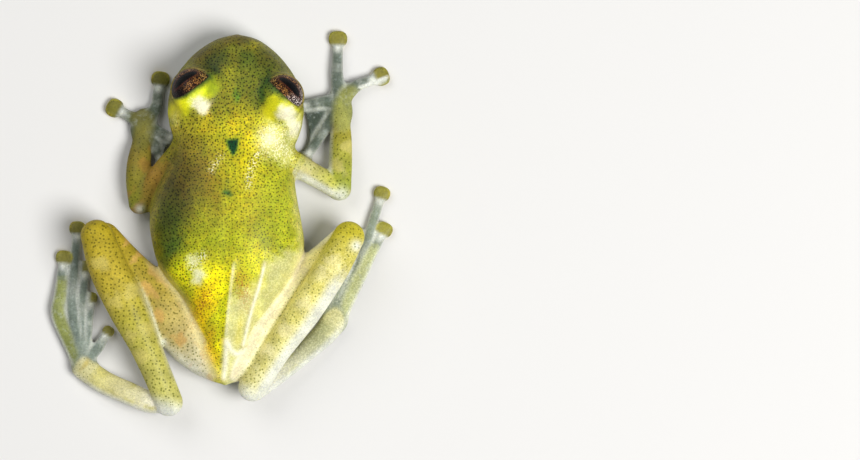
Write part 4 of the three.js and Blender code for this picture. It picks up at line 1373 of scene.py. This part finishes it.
def skin_material():
    """Moist skin: the painted colour with mottling, rust, milky streaks, pale flecks and painted glints,
    and dark dots.
    """
    material, tree, shader = new_material("skin")
    place = add_node(tree, "ShaderNodeTexCoord").outputs["Object"]
    place = vector_math("MULTIPLY", place, (1 / MM,) * 3)
    level, sheer, rust = (attribute(tree, name) for name in ("level", "sheer", "rust"))
    marks = add_node(tree, "ShaderNodeSeparateColor", {"Color": attribute(tree, "marks", "Color")})
    fine_amount, coarse_amount, glint_and_fleck_amount = marks.outputs[:3]
    broad = noise(place, 0.9, 3.0)
    grain = noise(place, 0.11, 2.0, 0.6)
    colour = mottled(attribute(tree, "colour", "Color"), place, broad, grain, fine_amount)
    rust = times(rust, ramp(noise(place, 0.1, 2.0, 0.6), 0.46, 0.58, 0.1, 0.9))
    colour = mix(rust, colour, RUST_COLOUR)
    streaks = ramp(noise(place, 0.34, 3.0, 0.6), 0.5, 0.72, 0.0, 0.6)
    colour = mix(times(streaks, sheer), colour, STREAK_COLOUR)
    # Pale flecks: grain of the skin, and painted glints where the highlights are painted
    glints_and_flecks = ramp(noise(place, 0.11, 1.0, 0.5), 0.5, 0.62, 0.0, 0.8)
    colour = mix(times(glints_and_flecks, glint_and_fleck_amount), colour, GLINT_AND_FLECK_COLOUR)
    fine = times(dots(place, level, *FINE_DOTS, fine_amount), ramp(fine_amount, 0.5, 1.0, 0.6, 0.9))
    elsewhere = vector_math("ADD", place, (0.4, 0.7, 0.3))
    faint = times(dots(elsewhere, level, *FAINT_DOTS, fine_amount), 0.55)
    coarse = times(dots(place, level, *COARSE_DOTS, coarse_amount), 0.78)
    colour = tinted(colour, faint, FAINT_TINT)
    colour = tinted(colour, fine, FINE_TINT)
    colour = tinted(colour, coarse, COARSE_TINT)
    height = calculate("ADD", noise(place, 0.16, 2.0, 0.6), times(broad, 0.8))
    set_inputs(tree, shader, {
        "Base Color": colour,
        "Roughness": ramp(grain, 0.3, 0.7, 0.5, 0.68),
        "Alpha": ramp(sheer, 0.0, 1.0, 1.0, 0.8),
        "Normal": bump(height, 0.55, 0.05),
        **SKIN_SHADER,
    })
    return material


def iris_material(side):
    """Gold and copper grains on dark brown round a level pupil, under a clear wet coat."""
    material, tree, shader = new_material(f"iris_{side}")
    look = attribute(tree, "look", "Vector")
    part = add_node(tree, "ShaderNodeSeparateXYZ", {"Vector": look})
    behind, above = part.outputs["X"], part.outputs["Y"]
    inputs = {"Vector": shifted(look, 9.0, 0.09), "Scale": 19.0, "Randomness": 0.85}
    cells = add_node(tree, "ShaderNodeTexVoronoi", inputs)
    grains = ramp(cells.outputs["Distance"], 0.28, 0.52, 1.0, 0.0)
    grains = times(grains, ramp(noise(look, 0.16, 2.0), 0.34, 0.6, 0.25, 1.0))
    metal = mix(ramp(behind, -0.75, -0.35), linear(*GOLD), linear(*COPPER))
    metal = mix(ramp(behind, 0.1, 0.6), metal, linear(*REAR_OF_IRIS[side]))
    ground = mix(ramp(behind, -0.8, 0.7), linear(*BROWN_FRONT), linear(*BROWN_REAR))
    colour = mix(grains, ground, metal)
    # Painted shade over the rear of the left eye
    if side == "left":
        colour = mix(ramp(behind, 0.1, 0.5, 0.0, 0.88), colour, linear(*LEFT_EYE_REAR_SHADE))
    parts = []
    for distance, half_size, power in zip((behind, above), PUPIL, PUPIL_POWERS):
        share = calculate("ABSOLUTE", calculate("DIVIDE", distance, half_size))
        parts.append(calculate("POWER", share, power))
    pupil = calculate("ADD", *parts)
    colour = mix(ramp(pupil, 1.15, 2.4, 0.75, 0.0), colour, linear(*PUPIL_RIM))
    colour = mix(ramp(pupil, 0.9, 1.2, 1.0, 0.0), colour, PUPIL_BLACK)
    set_inputs(tree, shader, {
        "Base Color": colour,
        "Roughness": ramp(grains, 0.0, 1.0, 0.5, 0.3),
        "Normal": bump(grains, 0.5, 0.03),
        **EYE_SHADER,
    })
    return material


def make_eye(side):
    """An eyeball that bulges a little over the pupil, with each point's direction seen from the gaze."""
    gaze, rearwards, upwards = gaze_of(side)
    rings, spokes = 56, 96
    angles = np.linspace(0, math.pi, rings + 1)[1:-1]
    around = np.linspace(0, 2 * math.pi, spokes, endpoint=False)
    ring = np.stack(np.meshgrid(angles, around, indexing="ij"), -1).reshape(-1, 2)
    behind = np.concatenate([[0], np.sin(ring[:, 0]) * np.cos(ring[:, 1]), [0]])
    above = np.concatenate([[0], np.sin(ring[:, 0]) * np.sin(ring[:, 1]), [0]])
    forward = np.concatenate([[1], np.cos(ring[:, 0]), [-1]])
    look = np.stack([behind, above, forward], 1)
    bulge = 1 + 0.035 * np.exp(-((1 - forward) / 0.35) ** 2)
    points = (behind[:, None] * rearwards + above[:, None] * upwards + forward[:, None] * gaze)
    points = np.array(EYES[side]["centre"]) + points * EYE_RADIUS * bulge[:, None]
    faces = []
    last = len(points) - 1
    for s in range(spokes):
        after = (s + 1) % spokes
        faces.append([0, 1 + s, 1 + after])
        faces.append([last, last - spokes + after, last - spokes + s])
        for r in range(rings - 2):
            low, high = 1 + r * spokes, 1 + (r + 1) * spokes
            faces.append([low + s, high + s, high + after, low + after])
    right_handed = np.dot(np.cross(rearwards, upwards), gaze) > 0
    if not right_handed:
        faces = [face[::-1] for face in faces]
    eye = make_mesh(f"eyeball_{side}", points, faces)
    eye.data.attributes.new("look", "FLOAT_VECTOR", "POINT").data.foreach_set("vector", look.ravel())
    eye.data.materials.append(iris_material(side))
    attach(eye, "root")
    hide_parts(f"eye_{side}")


def make_skin():
    field = build_field()
    points, faces = surface_of(field)
    points = relax(points, faces, field)
    skin = make_mesh("skin", points, faces.tolist())
    normals = np.zeros(3 * len(points))
    skin.data.vertex_normals.foreach_get("vector", normals)
    normals = normals.reshape(-1, 3)
    coat = paint_skin(points, normals)
    marks = np.stack([coat.fine_dots, coat.coarse_dots, coat.glints_and_flecks], 1)
    for name, values in (("colour", coat.colour), ("marks", marks)):
        layer = skin.data.color_attributes.new(name, "FLOAT_COLOR", "POINT")
        values = np.hstack([np.clip(values, 0, 1), np.ones((len(points), 1))])
        layer.data.foreach_set("color", values.ravel())
    level = step_up(normals[:, 2], 0.45, 0.7)
    for name, values in (("sheer", coat.sheer), ("rust", coat.rust), ("level", level)):
        skin.data.attributes.new(name, "FLOAT", "POINT").data.foreach_set("value", values)
    skin.data.materials.append(skin_material())
    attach(skin, "root")
    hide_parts(*[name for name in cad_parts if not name.startswith("eye")])


make_skin()
for side in EYES:
    make_eye(side)


# Floor, lights and camera, in metres except where a name ends in _MM
FLOOR_SIZE = 6.0
FLOOR_SHADER = {"Base Color": (0.72, 0.71, 0.69, 1), "Roughness": 0.8}
BELOW_FEET = 0.00001
LIGHTS = {  # place, size, power in watts
    "key": [(-0.16, 0.07, 0.26), 0.18, 1.06],
    "fill": [(0.14, -0.16, 0.22), 0.25, 0.36],
}
SKY = {"Color": (0.95, 0.97, 1.0, 1), "Strength": 0.16}
PICTURE_WIDTH_MM = 53.32
PICTURE_CENTRE_MM = (-12.93, 0.446)
AIM_HEIGHT_MM = 2.0
LENS = 300     # millimetres, with a sensor of this width
SENSOR = 36


def add_floor():
    bpy.ops.mesh.primitive_plane_add(size=FLOOR_SIZE, location=(0, 0, -BELOW_FEET))
    floor = bpy.context.object
    floor.name = "floor"
    material, tree, shader = new_material("floor")
    set_inputs(tree, shader, FLOOR_SHADER)
    floor.data.materials.append(material)


def add_light(name, place, size, power):
    data = bpy.data.lights.new(name, "AREA")
    data.shape = "DISK"
    data.size = size
    data.energy = power
    lamp = bpy.data.objects.new(name, data)
    lamp.location = place
    lamp.rotation_euler = (-Vector(place)).to_track_quat("-Z", "Y").to_euler()
    bpy.context.scene.collection.objects.link(lamp)


def add_sky():
    world = bpy.data.worlds.new("world")
    bpy.context.scene.world = world
    world.use_nodes = True
    set_inputs(world.node_tree, world.node_tree.nodes["Background"], SKY)


def add_camera():
    """Looks straight down, with the head at the top of the picture."""
    data = bpy.data.cameras.new("camera")
    data.lens = LENS
    data.sensor_width = SENSOR
    data.clip_start = 0.01
    data.clip_end = 20
    camera = bpy.data.objects.new("camera", data)
    distance = PICTURE_WIDTH_MM * LENS / SENSOR
    camera.location = Vector((*PICTURE_CENTRE_MM, AIM_HEIGHT_MM + distance)) * MM
    camera.rotation_euler = (0, 0, math.pi)
    bpy.context.scene.collection.objects.link(camera)
    bpy.context.scene.camera = camera


add_floor()
for name, light in LIGHTS.items():
    add_light(name, *light)
add_sky()
add_camera()
bpy.context.scene.view_settings.view_transform = "Standard"
